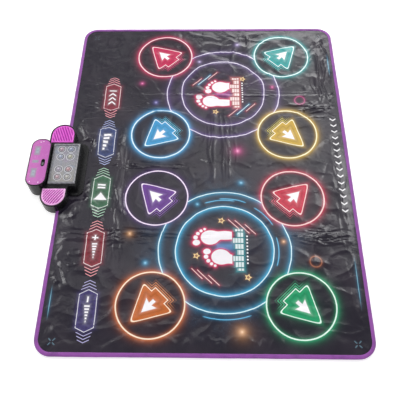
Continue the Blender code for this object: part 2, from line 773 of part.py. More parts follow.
def cell_stack():
    """(x, y, lowest z) of the stack of cells, and the end walls' inner faces."""
    x = POD_X - POD_WIDTH / 2 + POD_SHELL + GAP + CELL_RADIUS
    z = BASE + GAP + CELL_RADIUS
    length = CELL_LENGTH + CELL_TIP
    near_wall = POD_Y - length / 2 - SPRING_LENGTH - CONTACT_PLATE - 2 * GAP
    far_wall = POD_Y + length / 2 + TAB_HEIGHT + CONTACT_PLATE + 2 * GAP
    return (x, POD_Y, z), (near_wall, far_wall)


def door_opening():
    """Low and high corners, in y and z, of the opening in the pod's outer wall."""
    _, (near_wall, far_wall) = cell_stack()
    top = BASE + GAP + CELL_COUNT * (2 * CELL_RADIUS + GAP)
    return (near_wall + DOOR_MARGIN, LOW_RIM + DOOR_LIP), (far_wall - DOOR_MARGIN, top)


def pod_housing(parent, looks):
    """The pod's shell, with the walls of the cell bay moulded in."""
    shell = flat_solid("pod_housing", [pod_outline()], (LOW_RIM, POD_TOP))
    round_top(shell, POD_TOP, POD_EDGE)
    cut(shell, flat_solid("pod_room", [pod_outline(POD_SHELL)], (0, POD_ROOF_Z[0])))
    cut(shell, flat_solid("plate_seat", [pod_outline(PLATE_INSET)], (POD_ROOF_Z[1], OVER)))
    cut(shell, flat_solid("switch_slot", [switch_outline(-GAP)], (POD_ROOF_Z[0] - GAP, OVER)))
    (x, _, _), (near_wall, far_wall) = cell_stack()
    wall = POD_X - POD_WIDTH / 2
    front = wall + POD_SHELL / 2
    back = x + CELL_RADIUS + GAP
    behind = back + BATTERY_WALL
    (door_near, door_foot), (door_far, door_top) = door_opening()
    for name, low, high in (
        ("bay_back", (back, near_wall - BATTERY_WALL), (behind, far_wall + BATTERY_WALL)),
        ("bay_near", (front, near_wall - BATTERY_WALL), (behind, near_wall)),
        ("bay_far", (front, far_wall), (behind, far_wall + BATTERY_WALL)),
    ):
        join(shell, box(name, (*low, LOW_RIM), (*high, door_top + GAP)))
    opening_low = (wall - OVER, door_near, door_foot)
    opening_high = (wall + POD_SHELL + GAP, door_far, door_top)
    cut(shell, box("door_opening", opening_low, opening_high))
    place(shell, looks["black"], parent)


def switch_outline(inset=0.0):
    return centred_box(POD_X + SWITCH_X, SWITCH_Y, SWITCH_WIDTH, SWITCH_LENGTH, SWITCH_WIDTH / 2, inset, 6)


def pod_plate(parent, looks):
    outlines = [pod_outline(PLATE_INSET + GAP), switch_outline(-GAP)]
    place(flat_curve("pod_plate", outlines, PLATE_Z), looks["pink"], parent)


def power_switch(parent, looks):
    """A body held under the roof, with an oval neck, and the slider in its channel."""
    flange_z = (POD_ROOF_Z[0] - GAP - SWITCH_FLANGE, POD_ROOF_Z[0] - GAP)
    margin = -SWITCH_FLANGE_MARGIN
    flange = [centred_box(POD_X + SWITCH_X, SWITCH_Y, SWITCH_WIDTH, SWITCH_LENGTH, 0, margin)]
    body = flat_solid("power_switch_body", flange, flange_z)
    join(body, flat_solid("switch_neck", [switch_outline()], (flange_z[0], POD_TOP)))
    floor = POD_TOP - SWITCH_DEPTH
    x, y = POD_X + SWITCH_X, SWITCH_Y
    half_width, half_length = SLIDER_WIDTH / 2 + GAP, (SLIDER_LENGTH + SLIDER_TRAVEL) / 2 + GAP
    channel_low = (x - half_width, y - half_length, floor)
    channel_high = (x + half_width, y + half_length, OVER)
    cut(body, box("switch_channel", channel_low, channel_high))
    place(body, looks["black"], parent)

    start = y - SLIDER_TRAVEL / 2
    low = (x - SLIDER_WIDTH / 2, start - SLIDER_LENGTH / 2, floor + GAP)
    high = (x + SLIDER_WIDTH / 2, start + SLIDER_LENGTH / 2, POD_TOP + SLIDER_RISE - 2 * GAP)
    slider = box("power_slider", low, high)
    set_origin(slider, (x, start, floor + GAP))
    place(slider, looks["grey"], parent)


def cells(parent, looks):
    """Three stacked cells between a plate of springs and a plate of tabs."""
    (x, y, z), (near_wall, far_wall) = cell_stack()
    pitch = 2 * CELL_RADIUS + GAP
    half = (CELL_LENGTH + CELL_TIP) / 2
    shoulder = half - CELL_TIP
    profile = [
        (0, half),
        (CELL_TIP_RADIUS, half),
        (CELL_TIP_RADIUS, shoulder),
        (CELL_RADIUS, shoulder),
        (CELL_RADIUS, -half),
        (0, -half),
    ]
    for i in range(CELL_COUNT):
        cell = turned(f"battery_{i + 1}", profile, 16)
        cell.location = (x, y, z + i * pitch)
        cell.rotation_euler.x = math.pi / 2 if i % 2 else -math.pi / 2
        place(cell, looks["cell"], parent)
    heights = (z - CELL_RADIUS + GAP, z + (CELL_COUNT - 1) * pitch + CELL_RADIUS - GAP)
    half_width = CONTACT_PLATE_WIDTH / 2
    for name, foot, rise, radius in (
        ("battery_springs", near_wall + GAP, SPRING_LENGTH, SPRING_RADIUS),
        ("battery_tabs", far_wall - GAP, -TAB_HEIGHT, SPRING_RADIUS),
    ):
        face = foot + math.copysign(CONTACT_PLATE, rise)
        low, high = sorted((foot, face))
        plate = box(name, (x - half_width, low, heights[0]), (x + half_width, high, heights[1]))
        root, tip = (foot + face) / 2, face + rise
        for i in range(CELL_COUNT):
            half_stub = abs(tip - root) / 2
            stub = post(f"{name}_{i}", 0, 0, radius, (-half_stub, half_stub), 12)
            stub.data.transform(Matrix.Rotation(math.pi / 2, 4, "X"))
            stub.data.transform(Matrix.Translation((x, (root + tip) / 2, z + i * pitch)))
            join(plate, stub)
        place(plate, looks["steel"], parent)


def battery_door(parent, looks):
    """A flap in the pod's outer wall, on a barrel along its foot."""
    (near, foot), (far, top) = door_opening()
    wall = POD_X - POD_WIDTH / 2
    axis = (wall + DOOR_BARREL, (near + far) / 2, foot + DOOR_HINGE_RISE)
    low = (wall, near + GAP, axis[2])
    high = (wall + DOOR_THICKNESS, far - GAP, top - GAP)
    door = box("battery_door", low, high)
    length = far - near - 2 * GAP
    barrel = post("door_barrel", 0, 0, DOOR_BARREL, (-length / 2, length / 2), 12)
    barrel.data.transform(Matrix.Rotation(math.pi / 2, 4, "X"))
    barrel.data.transform(Matrix.Translation(axis))
    join(door, barrel)
    set_origin(settled(door), axis)
    place(door, looks["black"], parent)


def main():
    clear_scene()
    looks = surfaces()
    frame = empty("mat_middle", (MAT_SHIFT, 0, 0))
    fold = empty("fold_axis", (0, 0, FOLD_AXIS_Z), frame)
    halves = {"left": frame, "right": fold}
    for side, parent in halves.items():
        mat_sheets(side, parent, looks)
        edge_binding(side, parent, looks)
    pads(halves, looks)
    keys(frame, looks)
    for build in (
        unit_base,
        unit_housing,
        grilles,
        speakers,
        lamp_window,
        main_board,
        ribbon_tail,
        clamp,
        pod_housing,
        pod_plate,
        power_switch,
        cells,
        battery_door,
    ):
        build(frame, looks)


main()
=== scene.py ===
"""The looks of the folding musical dance mat: printed vinyl, edge binding and the control unit.

All lengths are metres. The print is worked out from "flat", an attribute that holds each
point's place on the mat laid flat, measured from the mat's middle. So the print stays on
the sheet when the mat folds, and runs on over the pads and keys.
"""

import json
import math

import bmesh
import bpy
import numpy as np
from mathutils import Matrix, Vector, geometry, kdtree, noise


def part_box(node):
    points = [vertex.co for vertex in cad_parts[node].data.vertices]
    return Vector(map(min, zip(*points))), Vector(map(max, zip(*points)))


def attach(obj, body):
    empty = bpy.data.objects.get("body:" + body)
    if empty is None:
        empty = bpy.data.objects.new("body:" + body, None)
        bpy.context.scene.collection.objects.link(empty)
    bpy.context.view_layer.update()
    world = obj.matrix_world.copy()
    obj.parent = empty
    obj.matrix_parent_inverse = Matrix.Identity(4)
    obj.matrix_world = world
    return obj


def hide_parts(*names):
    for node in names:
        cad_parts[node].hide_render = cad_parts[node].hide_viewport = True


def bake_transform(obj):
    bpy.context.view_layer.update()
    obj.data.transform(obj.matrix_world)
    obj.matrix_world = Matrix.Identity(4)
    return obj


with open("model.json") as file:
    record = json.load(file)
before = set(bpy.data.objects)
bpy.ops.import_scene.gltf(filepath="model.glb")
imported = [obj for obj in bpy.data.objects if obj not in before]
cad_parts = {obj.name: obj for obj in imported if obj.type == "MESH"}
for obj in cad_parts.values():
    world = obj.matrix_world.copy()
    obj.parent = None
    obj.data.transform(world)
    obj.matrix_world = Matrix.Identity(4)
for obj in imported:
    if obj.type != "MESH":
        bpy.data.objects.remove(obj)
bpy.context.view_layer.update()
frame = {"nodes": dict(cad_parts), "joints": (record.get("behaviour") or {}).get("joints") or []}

# Places read from the frame

fold = next(joint for joint in frame["joints"] if joint["name"] == "mat_fold")
MIDDLE_X = fold["pos_m"][0]
MAT_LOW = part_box("edge_binding_left")[0]
MAT_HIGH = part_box("edge_binding_right")[1]
MAT_WIDTH = MAT_HIGH.x - MAT_LOW.x
MAT_LENGTH = MAT_HIGH.y - MAT_LOW.y
SHEET_LOW_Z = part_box("top_sheet_left")[0].z
FACE_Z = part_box("top_sheet_left")[1].z
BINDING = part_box("top_sheet_left")[0].x - MAT_LOW.x
MAT_CORNER = 0.048

PADS = [f"pad_{number}" for number in range(1, 9)]
KEYS = ["key_speed", "key_level", "key_start", "key_volume_up", "key_volume_down"]


def middle(node):
    low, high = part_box(node)
    return (low + high) / 2


def on_mat(node):
    """The node's middle on the mat, from the mat's middle."""
    place = middle(node)
    return place.x - MIDDLE_X, place.y


PAD_PLACES = {pad: on_mat(pad + "_cover") for pad in PADS}
PAD_RADIUS = (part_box("pad_1_cover")[1].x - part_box("pad_1_cover")[0].x) / 2
KEY_PLACES = {key: on_mat(key) for key in KEYS}
KEY_LOW, KEY_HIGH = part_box(KEYS[0])
KEY_HALF_WIDTH = (KEY_HIGH.x - KEY_LOW.x) / 2
KEY_HALF_LENGTH = (KEY_HIGH.y - KEY_LOW.y) / 2
KEY_POINT = 0.0135  # length of a key's pointed end
KEY_PITCH = KEY_PLACES[KEYS[0]][1] - KEY_PLACES[KEYS[1]][1]
SEAM = 0.00012  # half the slit round a pad or key
RINGS_X, RINGS_Y = 0.0567, 0.2935  # the middles of the two pairs of rings lie at -y and +y
RING_RADII = (0.1415, 0.1905)
MARGIN_X = 0.4165  # the row of chevrons down the right side

# Colours of the print, linear

RED = (0.62, 0.026, 0.065)
CRIMSON = (0.60, 0.022, 0.100)
BLUE = (0.05, 0.34, 0.66)
PURPLE = (0.15, 0.045, 0.30)
ORANGE = (0.60, 0.15, 0.030)
TEAL = (0.02, 0.37, 0.36)
YELLOW = (0.64, 0.40, 0.04)
GREEN = (0.015, 0.36, 0.15)
CYAN = (0.03, 0.42, 0.75)
LAVENDER = (0.55, 0.42, 0.85)
VIOLET = (0.16, 0.14, 0.55)
MAGENTA = (0.85, 0.05, 0.34)
AMBER = (0.90, 0.40, 0.12)
INK = (0.0130, 0.0104, 0.0200)
PALE = (0.93, 0.91, 0.94)

PAD_LOOKS = {
    # colour, direction the arrow points in degrees, strength of the glow, tint of the pale lines
    "pad_1": (CRIMSON, 135, 1.0, (0.95, 0.72, 0.76)),
    "pad_2": (BLUE, 225, 1.1, (0.72, 0.90, 0.98)),
    "pad_3": (PURPLE, 135, 0.35, (0.90, 0.76, 0.96)),
    "pad_4": (ORANGE, 225, 1.0, (0.98, 0.80, 0.62)),
    "pad_5": (TEAL, 45, 1.0, (0.78, 0.96, 0.96)),
    "pad_6": (YELLOW, 315, 1.0, (0.98, 0.92, 0.62)),
    "pad_7": (RED, 45, 0.9, (0.95, 0.66, 0.66)),
    "pad_8": (GREEN, 315, 1.0, (0.76, 0.97, 0.86)),
}
KEY_COLOURS = {
    "key_speed": (0.60, 0.05, 0.10),
    "key_level": (0.10, 0.15, 0.44),
    "key_start": (0.10, 0.34, 0.17),
    "key_volume_up": (0.58, 0.05, 0.08),
    "key_volume_down": (0.13, 0.10, 0.38),
}


def tint(colour, share, lift=0.0):
    """A colour scaled and raised, with no part over 1."""
    return tuple(min(1.0, share * part + lift) for part in colour)


# Values worked out by a material's nodes


def feed(plug, value):
    """Gives a node's input a number, or links a field to it."""
    if isinstance(value, Field):
        value.tree.links.new(value.socket, plug)
    else:
        plug.default_value = value


class Field:
    """A number that changes over a surface, with ordinary arithmetic."""

    def __init__(self, tree, socket):
        self.tree, self.socket = tree, socket

    def math(self, operation, *others):
        node = self.tree.nodes.new("ShaderNodeMath")
        node.operation = operation
        for plug, value in zip(node.inputs, (self, *others)):
            feed(plug, value)
        return Field(self.tree, node.outputs[0])

    def __add__(self, other):
        return self.math("ADD", other)

    def __sub__(self, other):
        return self.math("SUBTRACT", other)

    def __mul__(self, other):
        return self.math("MULTIPLY", other)

    def __neg__(self):
        return self.math("MULTIPLY", -1.0)

    def __abs__(self):
        return self.math("ABSOLUTE")

    def least(self, other):
        return self.math("MINIMUM", other)

    def most(self, other):
        return self.math("MAXIMUM", other)

    def fall(self, low, high):
        """1 below low and 0 above high, smooth between."""
        return self.step(high, low)

    def step(self, low, high):
        """0 at low and 1 at high, smooth between."""
        node = self.tree.nodes.new("ShaderNodeMapRange")
        node.interpolation_type = "SMOOTHSTEP"
        for plug, value in zip(node.inputs, (self, low, high, 0.0, 1.0)):
            feed(plug, value)
        return Field(self.tree, node.outputs[0])

    def decay(self, reach):
        """1 at zero and less further out, on both sides."""
        return (abs(self) * (-1 / reach)).math("EXPONENT")


class Place:
    """A place on the mat, as two fields."""

    def __init__(self, x, y):
        self.x, self.y = x, y

    def moved(self, x, y):
        return Place(self.x - x, self.y - y)

    def turned(self, degrees):
        """The same place read on axes turned by this much."""
        c, s = math.cos(math.radians(degrees)), math.sin(math.radians(degrees))
        return Place(self.x * c + self.y * s, self.y * c - self.x * s)

    def length(self):
        return (self.x * self.x + self.y * self.y).math("SQRT")


class Painter:
    """One material whose colour is built up layer by layer on a Principled shader."""

    def __init__(self, name, colour, roughness, **settings):
        self.material = bpy.data.materials.new(name)
        self.material.use_nodes = True
        self.tree = self.material.node_tree
        self.shader = self.tree.nodes["Principled BSDF"]
        self.shader.inputs["Base Color"].default_value = (*colour, 1)
        self.shader.inputs["Roughness"].default_value = roughness
        for key, value in settings.items():
            self.shader.inputs[key.replace("_", " ")].default_value = value
        self.colour = self.node("ShaderNodeRGB")
        self.colour.default_value = (*colour, 1)
        self.tree.links.new(self.colour, self.shader.inputs["Base Color"])

    def node(self, kind, output=0):
        return self.tree.nodes.new(kind).outputs[output]

    def field(self, socket):
        return Field(self.tree, socket)

    def attribute(self, name, output):
        """A value that the mesh stores at its points."""
        node = self.tree.nodes.new("ShaderNodeAttribute")
        node.attribute_name = name
        return node.outputs[output]

    def flat(self):
        """The vector of the place on the flat mat."""
        return self.attribute("flat", "Vector")

    def solid(self):
        """The vector of the place in the piece itself."""
        return self.node("ShaderNodeTexCoord", 3)

    def parts(self, vector):
        node = self.tree.nodes.new("ShaderNodeSeparateXYZ")
        self.tree.links.new(vector, node.inputs[0])
        return [self.field(plug) for plug in node.outputs]

    def place(self, vector):
        return Place(*self.parts(vector)[:2])

    def distance(self, vector, x, y):
        node = self.tree.nodes.new("ShaderNodeVectorMath")
        node.operation = "DISTANCE"
        self.tree.links.new(vector, node.inputs[0])
        node.inputs[1].default_value = (x, y, 0)
        return self.field(node.outputs["Value"])

    def noise(self, vector, scale, detail=2.0, roughness=0.5, distortion=0.0):
        node = self.tree.nodes.new("ShaderNodeTexNoise")
        self.tree.links.new(vector, node.inputs["Vector"])
        values = {"Scale": scale, "Detail": detail, "Roughness": roughness, "Distortion": distortion}
        for key, value in values.items():
            node.inputs[key].default_value = value
        return self.field(node.outputs[0])

    def cells(self, vector, scale):
        """The distance to the nearest of a spread of points, as a share of their spacing."""
        node = self.tree.nodes.new("ShaderNodeTexVoronoi")
        self.tree.links.new(vector, node.inputs["Vector"])
        node.inputs["Scale"].default_value = scale
        return self.field(node.outputs["Distance"])

    def lay(self, colour, amount, blend="MIX"):
        """Mixes a colour in by an amount from 0 to 1."""
        node = self.tree.nodes.new("ShaderNodeMix")
        node.data_type, node.blend_type, node.clamp_factor = "RGBA", blend, True
        feed(node.inputs[0], amount)
        self.tree.links.new(self.colour, node.inputs[6])
        node.inputs[7].default_value = (*colour, 1)
        self.colour = node.outputs[2]
        self.tree.links.new(self.colour, self.shader.inputs["Base Color"])

    def glow(self, colour, amount):
        self.lay(colour, amount, "SCREEN")

    def mottle(self, colour, cloud, low, high, amount):
        """Lays a colour where a noise is high, and gives the noise back."""
        self.lay(colour, cloud.step(low, high) * amount)
        return cloud

    def rough(self, amount):
        self.tree.links.new(amount.socket, self.shader.inputs["Roughness"])

    def bump(self, height, depth, strength=1.0):
        """Relief whose full swing is about this deep, in metres."""
        node = self.tree.nodes.new("ShaderNodeBump")
        node.inputs["Strength"].default_value = strength
        node.inputs["Distance"].default_value = depth
        self.tree.links.new(height.socket, node.inputs["Height"])
        self.tree.links.new(node.outputs[0], self.shader.inputs["Normal"])


# Shapes of the print: each gives the distance to its edge, below zero inside


def oval(place, radius_x, radius_y):
    scaled = Place(place.x * (1 / radius_x), place.y * (1 / radius_y))
    return (scaled.length() - 1.0) * min(radius_x, radius_y)


def slab(place, half_x, half_y):
    return (abs(place.x) - half_x).most(abs(place.y) - half_y)


def half_plane(place, point, direction):
    """Below zero on the side that the direction points away from."""
    size = math.hypot(*direction)
    nx, ny = direction[0] / size, direction[1] / size
    return place.x * nx + place.y * ny - (point[0] * nx + point[1] * ny)


def every(value, pitch):
    """The place within each of a row of cells, from minus half a pitch to plus half."""
    return (value + pitch / 2).math("FLOORED_MODULO", pitch) - pitch / 2


def star(place, radius):
    """A star with five points."""
    angle = place.y.math("ARCTAN2", place.x)
    wedge = abs(every(angle, math.tau / 5))
    reach = place.length()
    return reach * wedge.math("COSINE") * 0.50 + reach * wedge.math("SINE") * 0.866 - radius * 0.50


def chevron(place, half_width, rise):
    """The distance along y to a V whose peak is at the origin and points to +y."""
    return place.y + abs(place.x) * (rise / half_width)


# The vinyl that every printed piece shares


def vinyl(name):
    """Dark glossy film with fine grain, scuffs and tiny creases."""
    paint = Painter(name, INK, 0.3, Specular_IOR_Level=0.5)
    flat = paint.flat()
    cloud = paint.noise(flat, 9.0, 3.0, 0.55)
    paint.lay((0.027, 0.021, 0.033), cloud.step(0.38, 0.72))
    speck = paint.noise(flat, 900.0, 1.0)
    paint.glow((0.03, 0.03, 0.035), speck.step(0.66, 0.80) * 0.6)
    scuff = paint.noise(flat, 30.0, 4.0, 0.6, 0.6)
    paint.rough(scuff * 0.20 + 0.12)
    crinkle = paint.noise(flat, 30.0, 2.0, 0.4, 1.0)
    grain = paint.noise(flat, 1500.0, 1.0)
    paint.bump(crinkle + grain * 0.004, 0.0030, 0.35)
    return paint, flat


def arrow_edges(place):
    """The distances to the big arrow and to the small one in it; both point to +x."""
    soft = Place(place.x, (place.y * place.y + 0.0060**2).math("SQRT"))
    slant = half_plane(soft, (0.0765, 0.0), (0.0560, 0.1010))
    head = slant.math("SMOOTH_MAX", -soft.x - 0.0285, 0.016)
    shaft = (abs(place.y) - 0.0255).most(-place.x - 0.0430).most(place.x)
    big = head.least(shaft)
    half = Place(place.x, abs(place.y))
    side = half_plane(half, (0.0315, 0.0), (0.0200, 0.0360))
    back = half_plane(half, (-0.0050, 0.0200), (-0.0180, -0.0050))
    stem = (half.y - 0.0052).most(-place.x - 0.0160).most(place.x - 0.015)
    small = side.most(back).least(stem)
    return big, small


def pad_material(pad):
    colour, direction, strength, line = PAD_LOOKS[pad]
    paint, flat = vinyl(f"Printed vinyl {pad}")
    centre = paint.place(flat).moved(*PAD_PLACES[pad])
    ring = centre.length() - (PAD_RADIUS - 0.0021)
    bright = tint(colour, 1.3)
    halo = ring.most(0.0).decay(0.0060) * (-ring).most(0.0).decay(0.0038)
    paint.glow(bright, halo * (0.80 * strength))
    paint.glow(colour, centre.length().fall(0.02, 0.09) * (0.05 * strength))
    place = centre.turned(direction)
    big, small = arrow_edges(place)
    rear = (-place.x - 0.0285).most(abs(place.y) - 0.0560)
    rear = rear.least((abs(place.y) - 0.0255).most(-place.x - 0.0430))
    echo = ((rear + 0.0010) * (math.tau / 0.0054)).math("SINE").step(0.45, 0.95)
    behind = place.x.fall(-0.034, -0.022) * rear.fall(0.009, 0.020) * rear.step(0.001, 0.003)
    behind = behind * abs(place.y).fall(0.034, 0.060)
    paint.glow(bright, big.most(0.0).decay(0.0038) * min(0.62, strength))
    paint.lay(tint(colour, 2.0, 0.06), echo * behind * 0.95)
    fill = big.fall(-0.0006, 0.0006)
    paint.lay(colour, fill * 0.93)
    dark = tint(colour, 0.45)
    paint.lay(dark, fill * (big + 0.012).decay(0.0034) * 0.50)
    grain = paint.noise(flat, 260.0, 2.0)
    screen = (place.x * (math.tau / 0.0036)).math("SINE").step(0.0, 0.9)
    paint.lay(dark, fill * (grain.step(0.5, 0.8) * 0.4 + screen * 0.22))
    paint.lay(line, abs(big).fall(0.0009, 0.0016))
    paint.glow(PALE, small.most(0.0).decay(0.0022) * 0.25)
    paint.lay(PALE, small.fall(-0.0005, 0.0005))
    paint.lay(line, abs(ring).fall(0.0015, 0.0023))
    return paint.material


# Signs on the keys, in the place of words: each is drawn along the key's length (+y)


def sign_speed(place):
    drawn = abs(place.x) * 0.0 + 1.0
    for y in (-0.026, -0.008, 0.010):
        mark = abs(chevron(place.moved(0, y + 0.006), 0.0115, 0.0095)) - 0.0024
        drawn = drawn.least(mark.most(abs(place.x) - 0.0115))
    return drawn.least(slab(place.moved(0, 0.028), 0.0115, 0.0016))


def sign_level(place):
    drawn = slab(place.moved(-0.0085, -0.028), 0.0030, 0.0040)
    for step, y in enumerate((-0.0145, -0.0010, 0.0125, 0.0260), 1):
        grown = step * 0.0021
        drawn = drawn.least(slab(place.moved(grown - 0.0085, y), 0.0030 + grown, 0.0040))
    return drawn


def sign_start(place):
    play = place.moved(0, -0.018)
    triangle = half_plane(Place(abs(play.x), play.y), (0.0, 0.0155), (0.0125, 0.0098))
    triangle = triangle.most(-play.y - 0.0095)
    pause = place.moved(0, 0.020)
    return triangle.least(slab(Place(pause.x, abs(pause.y) - 0.0050), 0.0115, 0.0026))


def volume_wedge(place):
    """Bars that grow along the key."""
    steps = (place.y * (1 / 0.0085)).math("FLOOR")
    bar = abs(every(place.y - 0.00425, 0.0085)) - 0.0024
    height = abs(place.x) - 0.0062 - steps * 0.0013
    return bar.most(height).most(abs(place.y + 0.0085) - 0.0255)


def sign_plus(place):
    mark = place.moved(0, 0.032)
    return volume_wedge(place).least(slab(mark, 0.0085, 0.0020)).least(slab(mark, 0.0020, 0.0085))


def sign_minus(place):
    return volume_wedge(place).least(slab(place.moved(0, 0.032), 0.0020, 0.0085))


SIGNS = {
    "key_speed": sign_speed,
    "key_level": sign_level,
    "key_start": sign_start,
    "key_volume_up": sign_plus,
    "key_volume_down": sign_minus,
}


def key_edge(place):
    """The pointed frame of a key."""
    slope = KEY_POINT / KEY_HALF_WIDTH
    ends = abs(place.y) + abs(place.x) * slope - KEY_HALF_LENGTH
    return (abs(place.x) - KEY_HALF_WIDTH).most(ends * (1 / math.hypot(1, slope)))


def key_material(key):
    colour = KEY_COLOURS[key]
    paint, flat = vinyl(f"Printed vinyl {key}")
    place = paint.place(flat).moved(*KEY_PLACES[key])
    edge = key_edge(place)
    mottle = paint.noise(flat, 120.0, 2.0).step(0.25, 0.75)
    fill = edge.fall(-0.0055, -0.0035)
    paint.lay(tint(colour, 0.27), fill * 0.75)
    paint.glow(colour, fill * mottle * 0.18)
    paint.glow(colour, (edge + 0.003).decay(0.0032) * 0.42)
    line = tint(colour, 0.30, 0.66)
    gap = abs(abs(place.y) - (KEY_HALF_LENGTH - KEY_POINT - 0.007)) - 0.0008
    paint.lay(line, abs(edge + 0.0026).fall(0.0007, 0.0013) * gap.step(0.0, 0.0006))
    sign = SIGNS[key](place)
    paint.glow(PALE, sign.most(0.0).decay(0.0025) * 0.25)
    paint.lay(PALE, sign.fall(-0.0004, 0.0004))
    return paint.material


# The main print


def foot(place, mirror):
    """A bare footprint that points to -x, its big toe to +y, or to -y if mirrored."""
    local = Place(-place.x, place.y * mirror)

    def blob(x, y, radius_x, radius_y):
        return oval(local.moved(x, y), radius_x, radius_y)

    sole = blob(-0.002, 0.0, 0.0285, 0.0240)
    sole = sole.math("SMOOTH_MIN", blob(-0.044, -0.0068, 0.040, 0.0148), 0.012)
    sole = sole.math("SMOOTH_MIN", blob(-0.090, 0.0, 0.021, 0.0185), 0.014)
    toes = blob(0.0380, 0.0165, 0.0118, 0.0096)
    for x, y, radius in (
        (0.0405, 0.0005, 0.0074), (0.0340, -0.0120, 0.0064),
        (0.0248, -0.0212, 0.0056), (0.0145, -0.0270, 0.0048),
    ):
        toes = toes.least(local.moved(x, y).length() - radius)
    return sole.least(toes)


def emblem(paint, place, sign, backlight, glow, bars):
    """Two footprints beside a bank of level bars and a row of dots, at the middle of a ring."""
    first = foot(place.moved(-0.0435, 0.0375 * sign), -sign)
    second = foot(place.moved(-0.0125, -0.0235 * sign), sign)
    first, second = (each.most(place.x - 0.0225) for each in (first, second))
    for each in (first, second):
        paint.glow(glow, each.most(0.0).decay(0.0034) * 0.80)
    between = slab(place.moved(0.0, 0.008 * sign), 0.020, 0.006).most(0.0)
    paint.glow(backlight, between.decay(0.008) * 0.45)
    for each in (first, second):
        paint.lay((0.62, 0.045, 0.13), each.fall(0.0012, 0.0020))
        paint.lay((0.88, 0.85, 0.89), each.fall(-0.0014, -0.0004))
    bank = place.moved(0.0395, 0.0)
    pitch = 0.0187
    column = (bank.y * (1 / pitch)).math("FLOOR")
    height = (column * 2.1).math("SINE") * 0.0070 + 0.0245
    rise = -bank.x + 0.0155
    bar = (abs(every(bank.y + pitch / 2, pitch)) - 0.0074).most(rise - height).most(-rise)
    bar = bar.most(-(abs(every(rise, 0.0082)) - 0.0007)).most(abs(bank.y) - 0.0650)
    paint.glow(bars, bar.most(0.0).decay(0.0035) * 0.9)
    paint.lay(tint(bars, 0.3), bar.fall(0.0010, 0.0020) * 0.8)
    paint.lay(tint(bars, 0.26, 0.66), bar.fall(-0.0004, 0.0004))
    dots = place.moved(0.0655, 0.0)
    dot = Place(dots.x, every(dots.y, 0.0105)).length() - 0.0026
    paint.lay(PALE, dot.most(abs(dots.y) - 0.046).fall(-0.0004, 0.0004))


def rings(paint, place, line, glow, within, around):
    """Two thin circles with a glow, whose strength differs within the inner one."""
    reach = place.length()
    for radius, side in zip(RING_RADII, (within, around)):
        off = reach - radius
        paint.glow(glow, off.decay(0.0055) * around)
        paint.glow(glow, (-off).most(0.0).decay(0.0068) * off.fall(0.0, 0.001) * side)
        paint.lay(line, abs(off).fall(0.0010, 0.0018))


def key_chevrons(paint, x, y):
    """Chevrons beyond both ends of every key."""
    first_x, first_y = KEY_PLACES[KEYS[0]]
    last_y = KEY_PLACES[KEYS[-1]][1]
    along = abs(every(y - first_y, KEY_PITCH))
    place = Place(x - first_x, along)
    drawn = place.x * 0.0
    for reach, half_width in ((0.0700, 0.0215), (0.0788, 0.0190), (0.0876, 0.0160)):
        line = abs(chevron(place.moved(0, reach), half_width, 0.48 * half_width)).fall(0.0007, 0.0015)
        drawn = drawn.most(line * (abs(place.x) - half_width).fall(-0.0005, 0.0005))
    within = (abs(y - (first_y + last_y) / 2) - (first_y - last_y) / 2 - 0.09).fall(-0.001, 0.001)
    for key in KEYS:
        colour = tint(KEY_COLOURS[key], 1.1, 0.34)
        near = (abs(y - KEY_PLACES[key][1]) - KEY_PITCH / 2).fall(-0.001, 0.001)
        paint.lay(colour, drawn * within * near)
        paint.glow(KEY_COLOURS[key], key_edge(place).most(0.0).decay(0.0040) * near * within * 0.26)


def margin_marks(paint, x, y):
    """Plain chevrons down the right side, thin streaks at both sides, crosses in the corners."""
    place = Place(y - 0.005, x - MARGIN_X)
    cell = every(place.x, 0.0245)
    mark = abs(cell - abs(place.y) * 0.75 + 0.003) - 0.0025
    mark = mark.most(abs(place.y) - 0.0095).most(abs(place.x) - 0.180).most(abs(cell) - 0.011)
    paint.lay((0.80, 0.79, 0.81), mark.fall(-0.0004, 0.0005))
    for side_x, mid_y, half in ((-0.424, -0.455, 0.055), (0.424, -0.39, 0.088), (0.427, 0.42, 0.06)):
        taper = (abs(y - mid_y) * (1 / half)).fall(0.2, 1.0)
        paint.lay((0.30, 0.62, 0.78), abs(x - side_x).fall(0.0003, 0.0012) * taper * 0.75)
        paint.glow(CYAN, (x - side_x).decay(0.0028) * taper * 0.25)
    corner = Place((abs(x) - 0.403), abs(y + 0.004) - 0.5585).turned(45)
    cross = slab(corner, 0.0014, 0.0125).least(slab(corner, 0.0125, 0.0014))
    cross = cross.most(-corner.length() + 0.004).fall(-0.0004, 0.0006)
    broken = (abs(every(corner.length(), 0.0042)) - 0.0014).fall(0.0, 0.0006)
    paint.lay((0.12, 0.21, 0.27), cross * broken * (y.fall(0.1, 0.2) * 0.7 + 0.3))


def sparkles(paint, flat):
    for x, y, colour, size in (
        (0.101, 0.051, MAGENTA, 1.0), (0.101, -0.5325, AMBER, 1.15),
        (-0.2225, 0.335, MAGENTA, 0.55), (-0.170, 0.249, VIOLET, 0.55),
        (-0.220, -0.245, AMBER, 0.65), (-0.169, -0.336, CYAN, 0.6),
        (0.109, -0.069, CYAN, 0.6), (-0.024, -0.145, CYAN, 0.5),
        (0.2275, -0.2675, AMBER, 0.5), (0.225, 0.3175, MAGENTA, 0.45),
        (0.109, 0.516, LAVENDER, 0.55), (-0.026, 0.436, LAVENDER, 0.45),
    ):
        reach = paint.distance(flat, x, y)
        paint.glow(colour, reach.decay(0.0095 * size) * 0.95)
        core = tint(colour, 0.55, 0.40)
        paint.glow(core, reach.decay(0.0040 * size) * 0.9)
    for x, y, colour in ((0.314, 0.2575, MAGENTA), (0.314, -0.33, ORANGE)):
        off = paint.distance(flat, x, y) - 0.0165
        paint.glow(colour, off.decay(0.0030) * 0.35)
        paint.lay(tint(colour, 0.50, 0.06), abs(off).fall(0.0008, 0.0018) * 0.85)


